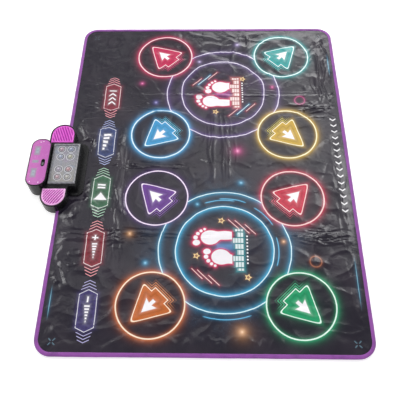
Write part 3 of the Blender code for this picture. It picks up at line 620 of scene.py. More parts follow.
def streaks_and_stars(paint, place):
    """Slanting dashes and small gold stars inside the rings."""
    near_dashes = (
        (0.0835, -0.2115), (0.1085, -0.220), (0.1325, -0.228),
        (-0.0215, -0.368), (0.0, -0.377), (0.026, -0.388),
    )
    far_dashes = (
        (-0.0325, 0.342), (-0.0075, 0.3515), (0.0215, 0.369),
        (0.0905, 0.208), (0.123, 0.220), (0.1485, 0.2275),
    )
    for degrees, dashes in ((-45, near_dashes), (45, far_dashes)):
        axes = place.turned(degrees)
        c, s = math.cos(math.radians(degrees)), math.sin(math.radians(degrees))
        for i, (dash_x, dash_y) in enumerate(dashes):
            local = axes.moved(dash_x * c + dash_y * s, dash_y * c - dash_x * s)
            half = 0.029 if i % 3 == 1 else 0.0215
            glow, line = RED, (0.93, 0.66, 0.64)
            if degrees > 0 and i % 3 == 1:
                glow, line = CYAN, (0.75, 0.92, 0.95)
            paint.glow(glow, slab(local, half, 0.0).most(0.0).decay(0.003) * 0.55)
            paint.lay(line, slab(local, half, 0.0008).fall(-0.0002, 0.0006))
    stars = ((0.031, 0.210), (0.124, 0.354), (0.048, -0.200), (-0.024, -0.314), (0.122, -0.378))
    for middle_at in stars:
        edge = star(place.moved(*middle_at), 0.0082)
        paint.glow(AMBER, edge.most(0.0).decay(0.002) * 0.3)
        paint.lay((0.86, 0.62, 0.30), abs(edge).fall(0.0009, 0.0016))


def arcs(paint, place):
    """Thin broken arcs round the near ring."""
    reach = place.length()
    for radius, low, high in (  # degrees
        (0.1555, -20, 16), (0.163, 28, 58), (0.168, 66, 96), (0.163, 78, 112), (0.2065, 252, 291),
    ):
        away = place.turned((low + high) / 2)
        half = math.radians((high - low) / 2)
        along = abs(away.y.math("ARCTAN2", away.x)).fall(half - 0.06, half)
        drawn = abs(reach - radius).fall(0.0007, 0.0016) * along
        paint.glow(CYAN, (reach - radius).decay(0.0025) * along * 0.35)
        paint.lay((0.14, 0.52, 0.84), drawn * 0.9)


def sheet_material():
    paint, flat = vinyl("Printed vinyl sheet")
    place = paint.place(flat)
    haze = paint.noise(flat, 14.0, 3.0, 0.6)
    far, near = place.moved(RINGS_X, RINGS_Y), place.moved(RINGS_X, -RINGS_Y)
    far_haze = far.length().fall(0.10, 0.27) * haze.step(0.35, 0.8)
    near_haze = near.length().fall(0.10, 0.30) * haze.step(0.3, 0.8)
    outer = near.length().step(0.180, 0.205) * 0.8 + 0.2
    paint.glow((0.11, 0.05, 0.17), far_haze * 0.30)
    paint.glow((0.03, 0.12, 0.22), near_haze * outer * 0.50)
    dust = paint.cells(flat, 190.0)
    paint.glow((0.16, 0.45, 0.62), dust.fall(0.08, 0.20) * near_haze * outer * 0.8)
    for pad in PADS:
        colour, _, strength, _ = PAD_LOOKS[pad]
        off = paint.distance(flat, *PAD_PLACES[pad]) - PAD_RADIUS
        bright = tint(colour, 1.3)
        paint.glow(bright, (off + 0.0012).most(0.0).decay(0.0060) * (0.92 * strength))
    wobble = paint.noise(flat, 16.0, 1.0)
    bent_far = Place(far.x + (wobble - 0.5) * 0.012, far.y + (haze - 0.5) * 0.010)
    rings(paint, bent_far, (0.80, 0.74, 0.90), (0.30, 0.17, 0.60), 0.20, 0.24)
    bent_near = Place(near.x + (wobble - 0.5) * 0.006, near.y + (haze - 0.5) * 0.005)
    rings(paint, bent_near, (0.68, 0.89, 0.95), CYAN, 0.95, 0.42)
    arcs(paint, near)
    emblem(paint, far, -1, (0.55, 0.08, 0.45), (0.85, 0.04, 0.16), (0.90, 0.22, 0.20))
    emblem(paint, near, 1, (0.10, 0.40, 0.85), (0.85, 0.04, 0.16), (0.05, 0.45, 0.50))
    streaks_and_stars(paint, place)
    sparkles(paint, flat)
    key_chevrons(paint, place.x, place.y)
    margin_marks(paint, place.x, place.y)
    return paint.material


# Wrinkles of the vinyl, as a height over the flat sheet

UNIT_HIGH_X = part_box("unit_housing")[1].x


def falls(value, low, high):
    t = np.clip((high - value) / (high - low), 0, 1)
    return t * t * (3 - 2 * t)


def noise_at(x, y, scale_x, scale_y, seed):
    """Smooth noise, about -1 to 1, at each point; a scale is the size of its lumps."""
    return np.array([
        noise.noise((px / scale_x, py / scale_y, seed)) for px, py in zip(x.tolist(), y.tolist())
    ])


def ridges(values, sharpness):
    """Turns smooth noise into folds whose crests are narrow."""
    return (1 - np.abs(values) * sharpness).clip(0, 1) ** 2


# One crease each: ends, height (below zero is a groove), half width, how much it wanders
CREASES = (
    ((-0.29, 0.292), (0.44, 0.286), -0.0011, 0.0045, 0.004),
    ((-0.29, 0.283), (0.44, 0.276), 0.0012, 0.0050, 0.004),
    ((-0.43, 0.214), (-0.07, 0.207), 0.0011, 0.0035, 0.006),
    ((-0.28, 0.004), (-0.05, -0.004), -0.0013, 0.0040, 0.008),
    ((-0.28, -0.006), (-0.05, -0.016), 0.0013, 0.0045, 0.008),
    ((-0.44, -0.236), (-0.06, -0.232), -0.0012, 0.0040, 0.006),
    ((-0.44, -0.243), (-0.06, -0.240), 0.0013, 0.0040, 0.006),
    ((-0.43, -0.262), (-0.20, -0.266), 0.0010, 0.0035, 0.006),
    ((0.23, -0.252), (0.44, -0.246), 0.0012, 0.0040, 0.007),
    ((0.24, 0.238), (0.44, 0.226), 0.0012, 0.0045, 0.010),
    ((-0.272, 0.20), (-0.262, -0.38), 0.0012, 0.0050, 0.009),
    ((-0.257, 0.19), (-0.250, -0.38), -0.0010, 0.0045, 0.009),
    ((0.030, 0.23), (0.024, -0.09), 0.0012, 0.0060, 0.004),
    ((0.066, 0.20), (0.062, -0.10), 0.0009, 0.0070, 0.005),
    ((-0.372, -0.118), (-0.442, -0.192), 0.0021, 0.0085, 0.003),
    ((-0.368, -0.112), (-0.300, -0.175), 0.0018, 0.0080, 0.004),
    ((-0.372, -0.121), (-0.395, -0.200), 0.0015, 0.0070, 0.004),
    ((-0.368, 0.076), (-0.330, 0.150), 0.0020, 0.0090, 0.004),
    ((-0.372, 0.080), (-0.418, 0.165), 0.0022, 0.0090, 0.004),
    ((-0.362, 0.060), (-0.300, 0.115), 0.0015, 0.0080, 0.004),
    ((-0.358, -0.040), (-0.352, -0.110), 0.0014, 0.0080, 0.003),
)
CREASE_COUNT = 110  # short fold marks, besides the ones listed


def small_creases():
    """Short fold marks all over the sheet, from a seeded generator."""
    random = np.random.default_rng(12)
    marks = []
    for _ in range(CREASE_COUNT):
        mid = np.array((random.uniform(-0.43, 0.43), random.uniform(-0.58, 0.58)))
        turn = random.normal(0.1, 0.45) + (random.random() < 0.35) * math.pi / 2
        reach = random.uniform(0.02, 0.085) * np.array((math.cos(turn), math.sin(turn)))
        rise = random.choice((-1, 1)) * random.uniform(0.00030, 0.00075)
        marks.append((mid - reach, mid + reach, rise, random.uniform(0.0040, 0.0080), 0.007))
    return tuple(marks)


# Bands of fine folds: middle, half size, size of the lumps along x and y, height
BANDS = (
    ((0.10, 0.285), (0.42, 0.030), (0.110, 0.0085), 0.0010),
    ((-0.25, 0.235), (0.20, 0.050), (0.090, 0.0100), 0.0011),
    ((0.36, 0.215), (0.10, 0.055), (0.060, 0.0090), 0.0014),
    ((-0.20, -0.004), (0.22, 0.030), (0.080, 0.0095), 0.0012),
    ((-0.25, -0.250), (0.21, 0.040), (0.090, 0.0090), 0.0012),
    ((0.34, -0.250), (0.12, 0.040), (0.070, 0.0090), 0.0013),
    ((0.00, -0.250), (0.44, 0.018), (0.110, 0.0080), 0.0005),
    ((-0.262, -0.08), (0.036, 0.32), (0.0150, 0.120), 0.0011),
    ((0.050, 0.07), (0.075, 0.17), (0.0160, 0.170), 0.0013),
    ((0.395, 0.39), (0.050, 0.19), (0.0260, 0.090), 0.0026),
    ((0.410, -0.10), (0.030, 0.25), (0.0200, 0.090), 0.0012),
    ((-0.40, 0.30), (0.050, 0.20), (0.0450, 0.070), 0.0010),
    ((-0.35, -0.42), (0.10, 0.12), (0.0650, 0.065), 0.0010),
    ((-0.37, 0.235), (0.08, 0.150), (0.0850, 0.022), 0.0012),
    ((-0.31, 0.080), (0.10, 0.110), (0.0800, 0.036), 0.0011),
    ((-0.33, -0.110), (0.09, 0.100), (0.0600, 0.038), 0.0009),
    ((-0.40, -0.330), (0.07, 0.180), (0.0750, 0.062), 0.0006),
    ((-0.27, -0.480), (0.14, 0.090), (0.0800, 0.058), 0.0012),
    ((0.05, -0.57), (0.35, 0.028), (0.0220, 0.060), 0.0012),
    ((0.14, 0.50), (0.12, 0.10), (0.0450, 0.060), 0.0018),
)
FOLD_MARKS = CREASES + small_creases()
DEEPEST = 0.0006  # how far the vinyl may sink into what it lies on


def facets(x, y, size_x, size_y, seed):
    """Panels that meet along creases: 0 on the creases, up to 0.5 within."""
    found = [
        noise.voronoi((px / size_x, py / size_y, seed))[0] for px, py in zip(x.tolist(), y.tolist())
    ]
    return np.array([reach[1] - reach[0] for reach in found]).clip(0, 0.5)


def wrinkles(x, y):
    """Height of the vinyl over the flat sheet at points on the mat."""
    warp_x = x + 0.016 * noise_at(x, y, 0.10, 0.10, 3.1)
    warp_y = y + 0.016 * noise_at(x, y, 0.10, 0.10, 8.7)
    height = 0.0010 * noise_at(x, y, 0.150, 0.150, 1.3)
    height += 0.0009 * noise_at(warp_x, warp_y, 0.060, 0.075, 5.9)
    height += 0.0012 * ridges(noise_at(warp_x, warp_y, 0.085, 0.065, 2.2), 3.0)
    height += 0.0034 * facets(warp_x, warp_y, 0.17, 0.11, 4.7)
    height += 0.0005 * noise_at(warp_x, warp_y, 0.026, 0.034, 9.4)
    for (mid_x, mid_y), (half_x, half_y), (size_x, size_y), rise in BANDS:
        off = np.hypot((x - mid_x) / half_x, (y - mid_y) / half_y)
        near = off < 1
        if near.any():
            folds = noise_at(warp_x[near], warp_y[near], size_x, size_y, mid_x * 37 + mid_y * 11)
            height[near] += 2.1 * rise * falls(off[near], 0.35, 1.0) * (ridges(folds, 2.4) - 0.25)
    for (x0, y0), (x1, y1), rise, half_width, wander in FOLD_MARKS:
        along = np.array((x1 - x0, y1 - y0))
        size = np.hypot(*along)
        along /= size
        run = (x - x0) * along[0] + (y - y0) * along[1]
        off = (y - y0) * along[0] - (x - x0) * along[1]
        near = (np.abs(off) < 5 * half_width + wander) & (run > 0) & (run < size)
        if near.any():
            seed = y0 * 9 + x0 * 5 + rise * 999
            drift = wander * noise_at(run[near], run[near] * 0, 0.06, 1.0, seed)
            ends = falls(np.abs(run[near] / size - 0.5) * 2, 0.55, 1.0)
            flank = np.hypot(off[near] - drift, 0.3 * half_width) - 0.3 * half_width
            height[near] += 2.4 * rise * ends * np.exp(-flank / half_width)
    from_edge = np.minimum(MAT_WIDTH / 2 - np.abs(x), MAT_LENGTH / 2 - np.abs(y))
    height *= 0.25 + 0.75 * falls(-from_edge, -0.045, -BINDING)
    unit_x = x - (UNIT_HIGH_X - MIDDLE_X)
    unit_y = np.abs(y - middle("display_window").y) - 0.105
    from_unit = np.hypot(unit_x.clip(0), unit_y.clip(0))
    height *= 1 - falls(from_unit, 0.001, 0.012)
    over = height + DEEPEST
    return (over + np.hypot(over, 0.0004)) / 2 - DEEPEST


# Meshes

PAD_STEP, KEY_STEP = 0.003, 0.0035  # along the edges of the pads and keys
SHEET_SPACING, INSERT_SPACING = 0.0033, 0.0034  # of the points within a sheet, and a pad or key
BACKING_SPACING = 0.012
SHEET_STEP, BINDING_STEP, BACKING_STEP = 0.004, 0.0045, 0.009  # along the outer edges
COARSER = 5  # how much wider the points lie on a sheet's underside
FOLD_START, FOLD_END = -0.012, 0.014  # the band that bends, from the fold's axis


def rounded_outline(low, high, radius, spacing):
    """A rectangle with round corners, as evenly spaced points with their outward directions."""
    (x0, y0), (x1, y1) = low, high
    corners = (
        (x1 - radius, y1 - radius, 0), (x0 + radius, y1 - radius, 90),
        (x0 + radius, y0 + radius, 180), (x1 - radius, y0 + radius, 270),
    )
    points = []
    for i, (x, y, start) in enumerate(corners):
        steps = max(3, round(radius * math.pi / 2 / spacing))
        for step in range(steps + 1):
            turn = math.radians(start + 90 * step / steps)
            out = (math.cos(turn), math.sin(turn))
            points.append((x + radius * out[0], y + radius * out[1], *out))
        after = corners[(i + 1) % 4]
        begin = (x + radius * out[0], y + radius * out[1])
        end = (after[0] + radius * out[0], after[1] + radius * out[1])
        size = math.hypot(end[0] - begin[0], end[1] - begin[1])
        count = max(1, round(size / spacing))
        for step in range(1, count):
            t = step / count
            x_at, y_at = (a + (b - a) * t for a, b in zip(begin, end))
            points.append((x_at, y_at, *out))
    return np.array(points)


def round_loop(x, y, radius, spacing):
    count = round(math.tau * radius / spacing)
    turns = np.arange(count) * math.tau / count
    return np.stack([x + radius * np.cos(turns), y + radius * np.sin(turns)], 1)


def key_loop(x, y, grow, spacing):
    """The outline of a key, with points along each side."""
    slope = math.hypot(KEY_POINT, KEY_HALF_WIDTH)
    half_width, half_length = KEY_HALF_WIDTH + grow, KEY_HALF_LENGTH + grow * slope / KEY_HALF_WIDTH
    shoulder = half_length - KEY_POINT * half_width / KEY_HALF_WIDTH
    corners = [
        (0, -half_length), (half_width, -shoulder), (half_width, shoulder),
        (0, half_length), (-half_width, shoulder), (-half_width, -shoulder),
    ]
    points = []
    for (ax, ay), (bx, by) in zip(corners, corners[1:] + corners[:1]):
        count = round(math.hypot(bx - ax, by - ay) / spacing)
        points += [(x + ax + (bx - ax) * i / count, y + ay + (by - ay) * i / count) for i in range(count)]
    return np.array(points)


def inside(points, loop):
    """Which points lie inside a closed outline."""
    x, y = points[:, 0], points[:, 1]
    found = np.zeros(len(points), bool)
    ax, ay = loop[:, 0], loop[:, 1]
    bx, by = np.roll(ax, -1), np.roll(ay, -1)
    for x0, y0, x1, y1 in zip(ax, ay, bx, by):
        if y0 != y1:
            crosses = ((y0 > y) != (y1 > y)) & (x < (x1 - x0) * (y - y0) / (y1 - y0) + x0)
            found ^= crosses
    return found


def filled(points, outline, holes):
    """Which points lie inside an outline and outside its holes."""
    keep = inside(points, outline)
    for hole in holes:
        keep &= ~inside(points, hole)
    return keep


def distances(points, others):
    """How far each point is from the nearest of the others."""
    tree = kdtree.KDTree(len(others))
    for i, (x, y) in enumerate(others):
        tree.insert((x, y, 0), i)
    tree.balance()
    return np.array([tree.find((x, y, 0))[2] for x, y in points])


def triangulated(outline, holes, spacing, dense=None):
    """Points and triangles that fill an outline round its holes; dense adds lattice points there."""
    loops = [outline, *holes]
    low, high = outline.min(0), outline.max(0)
    rows = []
    for i, y in enumerate(np.arange(low[1] + spacing / 2, high[1], spacing * 0.866)):
        x = np.arange(low[0] + spacing / 2 * (i % 2 + 0.5), high[0], spacing)
        rows.append(np.stack([x, np.full_like(x, y)], 1))
    lattice = np.concatenate(rows if dense is None else [*rows, dense])
    lattice = lattice[filled(lattice, outline, holes)]
    edge_points = np.concatenate(loops)
    edge_step = min(spacing, np.hypot(*(outline[1] - outline[0]))) * 0.6
    points = np.concatenate([edge_points, lattice[distances(lattice, edge_points) > edge_step]])
    edges, start = [], 0
    for loop in loops:
        count = len(loop)
        edges += [(start + i, start + (i + 1) % count) for i in range(count)]
        start += count
    given = [Vector(p) for p in points]
    made, _, faces, *_ = geometry.delaunay_2d_cdt(given, edges, [], 0, 1e-7, False)
    made, faces = np.array([tuple(p) for p in made]), np.array(faces)
    return made, faces[filled(made[faces].mean(1), outline, holes)]


def walls(start, count, shift, flip=False):
    """Triangles down from an outline's points to the same outline's points further on."""
    faces = []
    for i in range(count):
        a, b = start + i, start + (i + 1) % count
        if flip:
            a, b = b, a
        faces += [(a, a + shift, b), (b, a + shift, b + shift)]
    return faces


def stacked(outlines, closed=False):
    """Points and faces through each outline in turn: a closed band, or a solid with capped ends."""
    count = len(outlines[0][0])
    points = [(x, y, z) for outline, z in outlines for x, y in outline]
    faces = []
    for i in range(len(outlines) if closed else len(outlines) - 1):
        a, b = i * count, (i + 1) % len(outlines) * count
        for k in range(count):
            n = (k + 1) % count
            faces.append((a + k, a + n, b + n, b + k))
    if not closed:
        faces += [tuple(range(count))[::-1], tuple(range(len(points) - count, len(points)))]
    return points, faces


def mesh_piece(name, points, faces, material):
    mesh = bpy.data.meshes.new(name)
    mesh.from_pydata([tuple(p) for p in points], [], [tuple(map(int, f)) for f in faces])
    mesh.materials.append(material)
    mesh.validate()
    piece = bpy.data.objects.new(name, mesh)
    bpy.context.scene.collection.objects.link(piece)
    mesh.shade_smooth()
    mesh.set_sharp_from_angle(angle=math.radians(40))
    return piece


def carry(piece, body, slot, *nodes):
    """Attaches the piece to the body it rides on and hides the CAD nodes it stands in for; the slot is
    not used.
    """
    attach(piece, body)
    if nodes:
        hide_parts(*nodes)


def name_places(piece, places, outline, shown=1):
    """Stores the flat places, and a bake map that gives the shown side nearly all the room."""
    mesh = piece.data
    places = np.concatenate([places, np.zeros((len(places), 1))], 1)
    low, size = outline.min(0), outline.max(0) - outline.min(0)
    attribute = mesh.attributes.new("flat", "FLOAT_VECTOR", "POINT")
    attribute.data.foreach_set("vector", places.astype(np.float32).ravel())
    layer = mesh.uv_layers.new(name="OFBake")
    corner_vertex = np.zeros(len(mesh.loops), int)
    mesh.loops.foreach_get("vertex_index", corner_vertex)
    uv = (places[corner_vertex, :2] - low) / size
    up = np.repeat([face.normal.z * shown > 0.2 for face in mesh.polygons], 3)
    uv[:, 1] = np.where(up, 0.06 + 0.94 * uv[:, 1], 0.05 * uv[:, 1])
    layer.uv.foreach_set("vector", uv.astype(np.float32).ravel())


def signed_area(loop):
    """The area inside a closed outline, below zero if it runs clockwise."""
    x, y = loop[:, 0], loop[:, 1]
    return float(np.sum(x * np.roll(y, -1) - np.roll(x, -1) * y)) / 2


def declare_sheet(outline, holes=()):
    area = abs(signed_area(outline)) - sum(abs(signed_area(hole)) for hole in holes)


def sheet_piece(name, outline, holes, spacing, material, thickness, dense=None):
    """A closed sheet of vinyl whose top follows the wrinkles."""
    top, top_faces = triangulated(outline, holes, spacing, dense)
    under, under_faces = triangulated(outline, holes, spacing * COARSER, dense)
    height = wrinkles(top[:, 0], top[:, 1])
    points = [(x + MIDDLE_X, y, FACE_Z + h) for (x, y), h in zip(top, height)]
    points += [(x + MIDDLE_X, y, FACE_Z - thickness) for x, y in under]
    shift = len(top)
    faces = [tuple(face) for face in top_faces]
    faces += [tuple(shift + i for i in face[::-1]) for face in under_faces]
    start = 0
    for loop in (outline, *holes):
        flip = (signed_area(loop) > 0) != (loop is outline)
        faces += walls(start, len(loop), shift, flip)
        start += len(loop)
    piece = mesh_piece(name, points, faces, material)
    name_places(piece, np.concatenate([top, under]), outline)
    return piece


def rows_at_fold(step, shift=0.0):
    """Close rows of points along the fold, so that a sheet bends smoothly there."""
    along = np.arange(-MAT_LENGTH / 2, MAT_LENGTH / 2, step) + shift
    across = np.arange(-0.013, 0.016, 0.0026)
    return np.concatenate([np.stack([np.full_like(along, x), along], 1) for x in across])


def bend_at_fold(piece):
    start, end = ((MIDDLE_X + x, 0, FACE_Z) for x in (FOLD_START, FOLD_END))
    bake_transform(piece)


def main_sheet(hem):
    tuck = BINDING - 0.0025  # the binding covers the sheet's edge
    low = (-MAT_WIDTH / 2 + tuck, -MAT_LENGTH / 2 + tuck)
    outline = rounded_outline(low, (-low[0], -low[1]), MAT_CORNER - tuck, SHEET_STEP)[:, :2]
    holes = [round_loop(*place, PAD_RADIUS + SEAM, PAD_STEP) for place in PAD_PLACES.values()]
    holes += [key_loop(*place, SEAM, KEY_STEP) for place in KEY_PLACES.values()]
    dense = rows_at_fold(0.004, 0.0005)
    thickness = FACE_Z - SHEET_LOW_Z
    material = sheet_material()
    piece = sheet_piece("printed_sheet", outline, holes, SHEET_SPACING, material, thickness, dense)
    bend_at_fold(piece)
    declare_sheet(outline, holes)
    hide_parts("top_sheet_left", "top_sheet_right")


def pads_and_keys():
    for pad in PADS:
        outline = round_loop(*PAD_PLACES[pad], PAD_RADIUS - SEAM, PAD_STEP)
        thickness = FACE_Z - SHEET_LOW_Z
        piece = sheet_piece(pad + "_print", outline, [], INSERT_SPACING, pad_material(pad), thickness)
        declare_sheet(outline)
        carry(piece, pad, "printed_vinyl", pad + "_cover")
    for key in KEYS:
        outline = key_loop(*KEY_PLACES[key], -SEAM, KEY_STEP)
        thickness = FACE_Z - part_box(key)[0].z
        piece = sheet_piece(key + "_print", outline, [], INSERT_SPACING, key_material(key), thickness)
        declare_sheet(outline)
        carry(piece, key, "printed_vinyl", key)


# Edge binding and the underside

BINDING_PROFILE = (  # how far in from the mat's edge, and the height
    (0.0101, 0.0081), (0.0102, 0.0087), (0.0093, 0.0092), (0.0068, 0.0096), (0.0038, 0.0094),
    (0.0014, 0.0085), (0.0002, 0.0068), (0.0000, 0.0045), (0.0001, 0.0018), (0.0008, 0.0004),
    (0.0030, 0.0000), (0.0112, 0.0000), (0.0112, 0.0007), (0.0012, 0.0008), (0.0009, 0.0012),
    (0.0009, 0.0067), (0.0020, 0.0078), (0.0040, 0.0081),
)
PROFILE_OUTSIDE = 11  # the points of the profile that show
THREAD_PITCH = 0.0011  # of the binding's weave


def binding_material():
    paint = Painter("Purple binding", (0.265, 0.050, 0.345), 0.60, Sheen_Weight=0.30)
    solid = paint.solid()
    place, turns = paint.place(solid), math.tau / THREAD_PITCH
    warp = ((place.x + place.y) * turns).math("SINE")
    weft = ((place.x - place.y) * turns).math("SINE")
    weave = warp * weft * 0.5 + 0.5
    paint.lay((0.36, 0.10, 0.45), weave * 0.40)
    paint.mottle((0.13, 0.030, 0.19), paint.noise(solid, 22.0, 3.0, 0.6), 0.45, 0.75, 0.6)
    fuzz = paint.mottle((0.48, 0.20, 0.56), paint.noise(solid, 700.0, 2.0), 0.6, 0.8, 0.25)
    paint.bump(weave + fuzz * 0.5, 0.0003, 0.6)
    return paint.material


def thread_material():
    paint = Painter("Purple thread", (0.30, 0.09, 0.38), 0.55, Sheen_Weight=0.3)
    paint.mottle((0.46, 0.20, 0.52), paint.noise(paint.solid(), 1400.0, 1.0), 0.4, 0.7, 0.6)
    return paint.material


def ruffle(x, y):
    """How far the binding's outside stands out at each point, from 0 to 2.2 mm."""
    swell = noise_at(x, y, 0.085, 0.085, 4.4) * 0.6 + noise_at(x, y, 0.021, 0.021, 7.7) * 0.4
    wander = noise_at(x, y, 0.26, 0.26, 2.6)
    return 0.0006 + 0.0006 * np.clip(swell * 1.6, -1, 1) + 0.0010 * np.clip(wander * 1.5, 0, 1)


def edge_binding():
    half = (MAT_WIDTH / 2, MAT_LENGTH / 2)
    outline = rounded_outline((-half[0], -half[1]), half, MAT_CORNER, BINDING_STEP)
    count, steps = len(outline), len(BINDING_PROFILE)
    out = ruffle(outline[:, 0], outline[:, 1])
    lift = noise_at(outline[:, 0], outline[:, 1], 0.030, 0.030, 6.1)
    points = []
    for (x, y, nx, ny), swell, rise in zip(outline, out, lift):
        for i, (inset, z) in enumerate(BINDING_PROFILE):
            shows = math.sin(math.pi * i / PROFILE_OUTSIDE) if i < PROFILE_OUTSIDE else 0
            reach = swell * shows - inset
            top = 0.0005 * rise if 1 < i < 6 else 0
            points.append((x + nx * reach + MIDDLE_X, y + ny * reach, z + top))
    faces = []
    for i in range(count):
        for j in range(steps):
            a, b = i * steps + j, i * steps + (j + 1) % steps
            c, d = (i + 1) % count * steps + (j + 1) % steps, (i + 1) % count * steps + j
            faces.append((a, d, c, b))
    piece = mesh_piece("binding", points, faces, binding_material())
    stitches = stitch_line(outline)
    for each in (piece, stitches):
        bend_at_fold(each)
    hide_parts("edge_binding_left", "edge_binding_right")
    return [piece, stitches]


STITCH_POINTS = (  # share of the length and of the width, and 1 on the crest
    (-0.5, 0, 0), (-0.3, 0.5, 0), (0.3, 0.5, 0), (0.5, 0, 0), (0.3, -0.5, 0), (-0.3, -0.5, 0),
    (-0.25, 0, 1), (0.25, 0, 1),
)
STITCH_FACES = (
    (0, 5, 6), (0, 6, 1), (1, 6, 7, 2), (2, 7, 3), (3, 7, 4), (4, 7, 6, 5), (0, 1, 2, 3, 4, 5),
)
STITCH_Z = 0.0090


def stitch_line(outline):
    """A row of short raised stitches near the binding's inner edge."""
    inset, pitch, length, width, rise = 0.0078, 0.0036, 0.0027, 0.0007, 0.00055
    path = [(x - nx * inset, y - ny * inset) for x, y, nx, ny in outline]
    points, faces = [], []
    carried = 0.0
    for (ax, ay), (bx, by) in zip(path, path[1:] + path[:1]):
        size = math.hypot(bx - ax, by - ay)
        tx, ty = (bx - ax) / size, (by - ay) / size
        at = carried
        while at < size:
            x, y = ax + tx * at + MIDDLE_X, ay + ty * at
            start = len(points)
            for along, side, z in STITCH_POINTS:
                px, py = along * length, side * width
                points.append((x + tx * px - ty * py, y + ty * px + tx * py, STITCH_Z + z * rise))
            faces += [tuple(start + i for i in face) for face in STITCH_FACES]
            at += pitch
        carried = at - size
    piece = mesh_piece("binding_stitches", points, faces, thread_material())
    bm = bmesh.new()
    bm.from_mesh(piece.data)
    bmesh.ops.recalc_face_normals(bm, faces=bm.faces)
    bm.to_mesh(piece.data)
    bm.free()
    return piece


def backing_material():
    paint = Painter("Anti-slip backing", (0.016, 0.016, 0.018), 0.72)
    flat = paint.flat()
    place, pitch = paint.place(flat), 0.008
    beads = [
        Place(every(place.x + shift, pitch), every(place.y + shift, pitch)).length()
        for shift in (0.0, pitch / 2)
    ]
    bead = beads[0].least(beads[1]).fall(0.0009, 0.0016)
    paint.lay((0.035, 0.035, 0.038), bead)
    cloth = paint.mottle((0.030, 0.030, 0.032), paint.noise(flat, 900.0, 2.0), 0.45, 0.75, 0.6)
    paint.mottle((0.065, 0.062, 0.058), paint.noise(flat, 6.0, 4.0, 0.65), 0.5, 0.85, 0.5)
    paint.bump(bead + cloth * 0.2, 0.0006, 0.8)
    return paint.material


def underside():
    low = (-MAT_WIDTH / 2 + BINDING, -MAT_LENGTH / 2 + BINDING)
    outline = rounded_outline(low, (-low[0], -low[1]), MAT_CORNER - BINDING, BACKING_STEP)[:, :2]
    flat_points, flat_faces = triangulated(outline, [], BACKING_SPACING, rows_at_fold(0.006))
    count = len(flat_points)
    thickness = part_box("bottom_sheet_left")[1].z
    points = [(x + MIDDLE_X, y, z) for z in (thickness, 0.0) for x, y in flat_points]
    faces = [tuple(face) for face in flat_faces]
    faces += [tuple(count + i for i in face[::-1]) for face in flat_faces]
    faces += walls(0, len(outline), count)
    piece = mesh_piece("backing", points, faces, backing_material())
    name_places(piece, np.concatenate([flat_points, flat_points]), outline, -1)
    bend_at_fold(piece)
    declare_sheet(outline)
    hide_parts("bottom_sheet_left", "bottom_sheet_right")


# Control unit

WINDOW_LOW, WINDOW_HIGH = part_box("display_window")
LAMP_RADIUS = 0.0078
LAMPS = (  # place from the window's middle, colour
    (-0.015, 0.053, (0.80, 0.32, 0.52)), (0.015, 0.053, (0.22, 0.34, 0.78)),
    (-0.015, 0.025, (0.36, 0.48, 0.85)), (0.015, 0.025, (0.80, 0.78, 0.42)),
    (-0.015, -0.021, (0.58, 0.42, 0.70)), (0.015, -0.021, (0.85, 0.16, 0.22)),
    (-0.015, -0.049, (0.82, 0.30, 0.42)), (0.015, -0.049, (0.80, 0.74, 0.62)),
)


def moulding(name, colour, roughness, light, grain=1.0, gloss=0.5):
    """Moulded plastic: a faint cloudiness, fine spark-eroded grain and rub marks."""
    paint = Painter(name, colour, roughness, Specular_IOR_Level=gloss)
    solid = paint.solid()
    cloud = paint.mottle(light, paint.noise(solid, 30.0, 3.0, 0.6), 0.42, 0.8, 0.5)
    speck = paint.mottle(light, paint.noise(solid, 1600.0, 1.0), 0.62, 0.8, 0.35)
    rub = paint.noise(solid, 55.0, 5.0, 0.7)
    paint.rough(rub * 0.22 + (roughness - 0.09))
    paint.bump(speck * grain + cloud * 0.6, 0.00025, 0.35)
    return paint


def black_plastic():
    light = (0.014, 0.013, 0.016)
    return moulding("Black moulding", (0.005, 0.005, 0.006), 0.24, light, gloss=0.30).material


def refined(node, body, material, slot, width=0.0):
    """A piece with a CAD node's shape, its curves shaded smooth and its edges eased by a width."""
    mesh = frame["nodes"][node].data.copy()
    mesh.materials.clear()
    mesh.materials.append(material)
    bm = bmesh.new()
    bm.from_mesh(mesh)
    bmesh.ops.remove_doubles(bm, verts=bm.verts, dist=1e-6)
    bmesh.ops.dissolve_limit(bm, angle_limit=math.radians(0.5), verts=bm.verts, edges=bm.edges)
    bm.to_mesh(mesh)
    bm.free()
    piece = bpy.data.objects.new(node + "_moulding", mesh)
    bpy.context.scene.collection.objects.link(piece)
    mesh.shade_smooth()
    mesh.set_sharp_from_angle(angle=math.radians(32))
    if width:
        bevel = piece.modifiers.new("Eased edges", "BEVEL")
        bevel.width = width
        bevel.segments = 2
        bevel.limit_method = "ANGLE"
        bevel.angle_limit = math.radians(40)
        bevel.harden_normals = True
    carry(piece, body, slot, node)


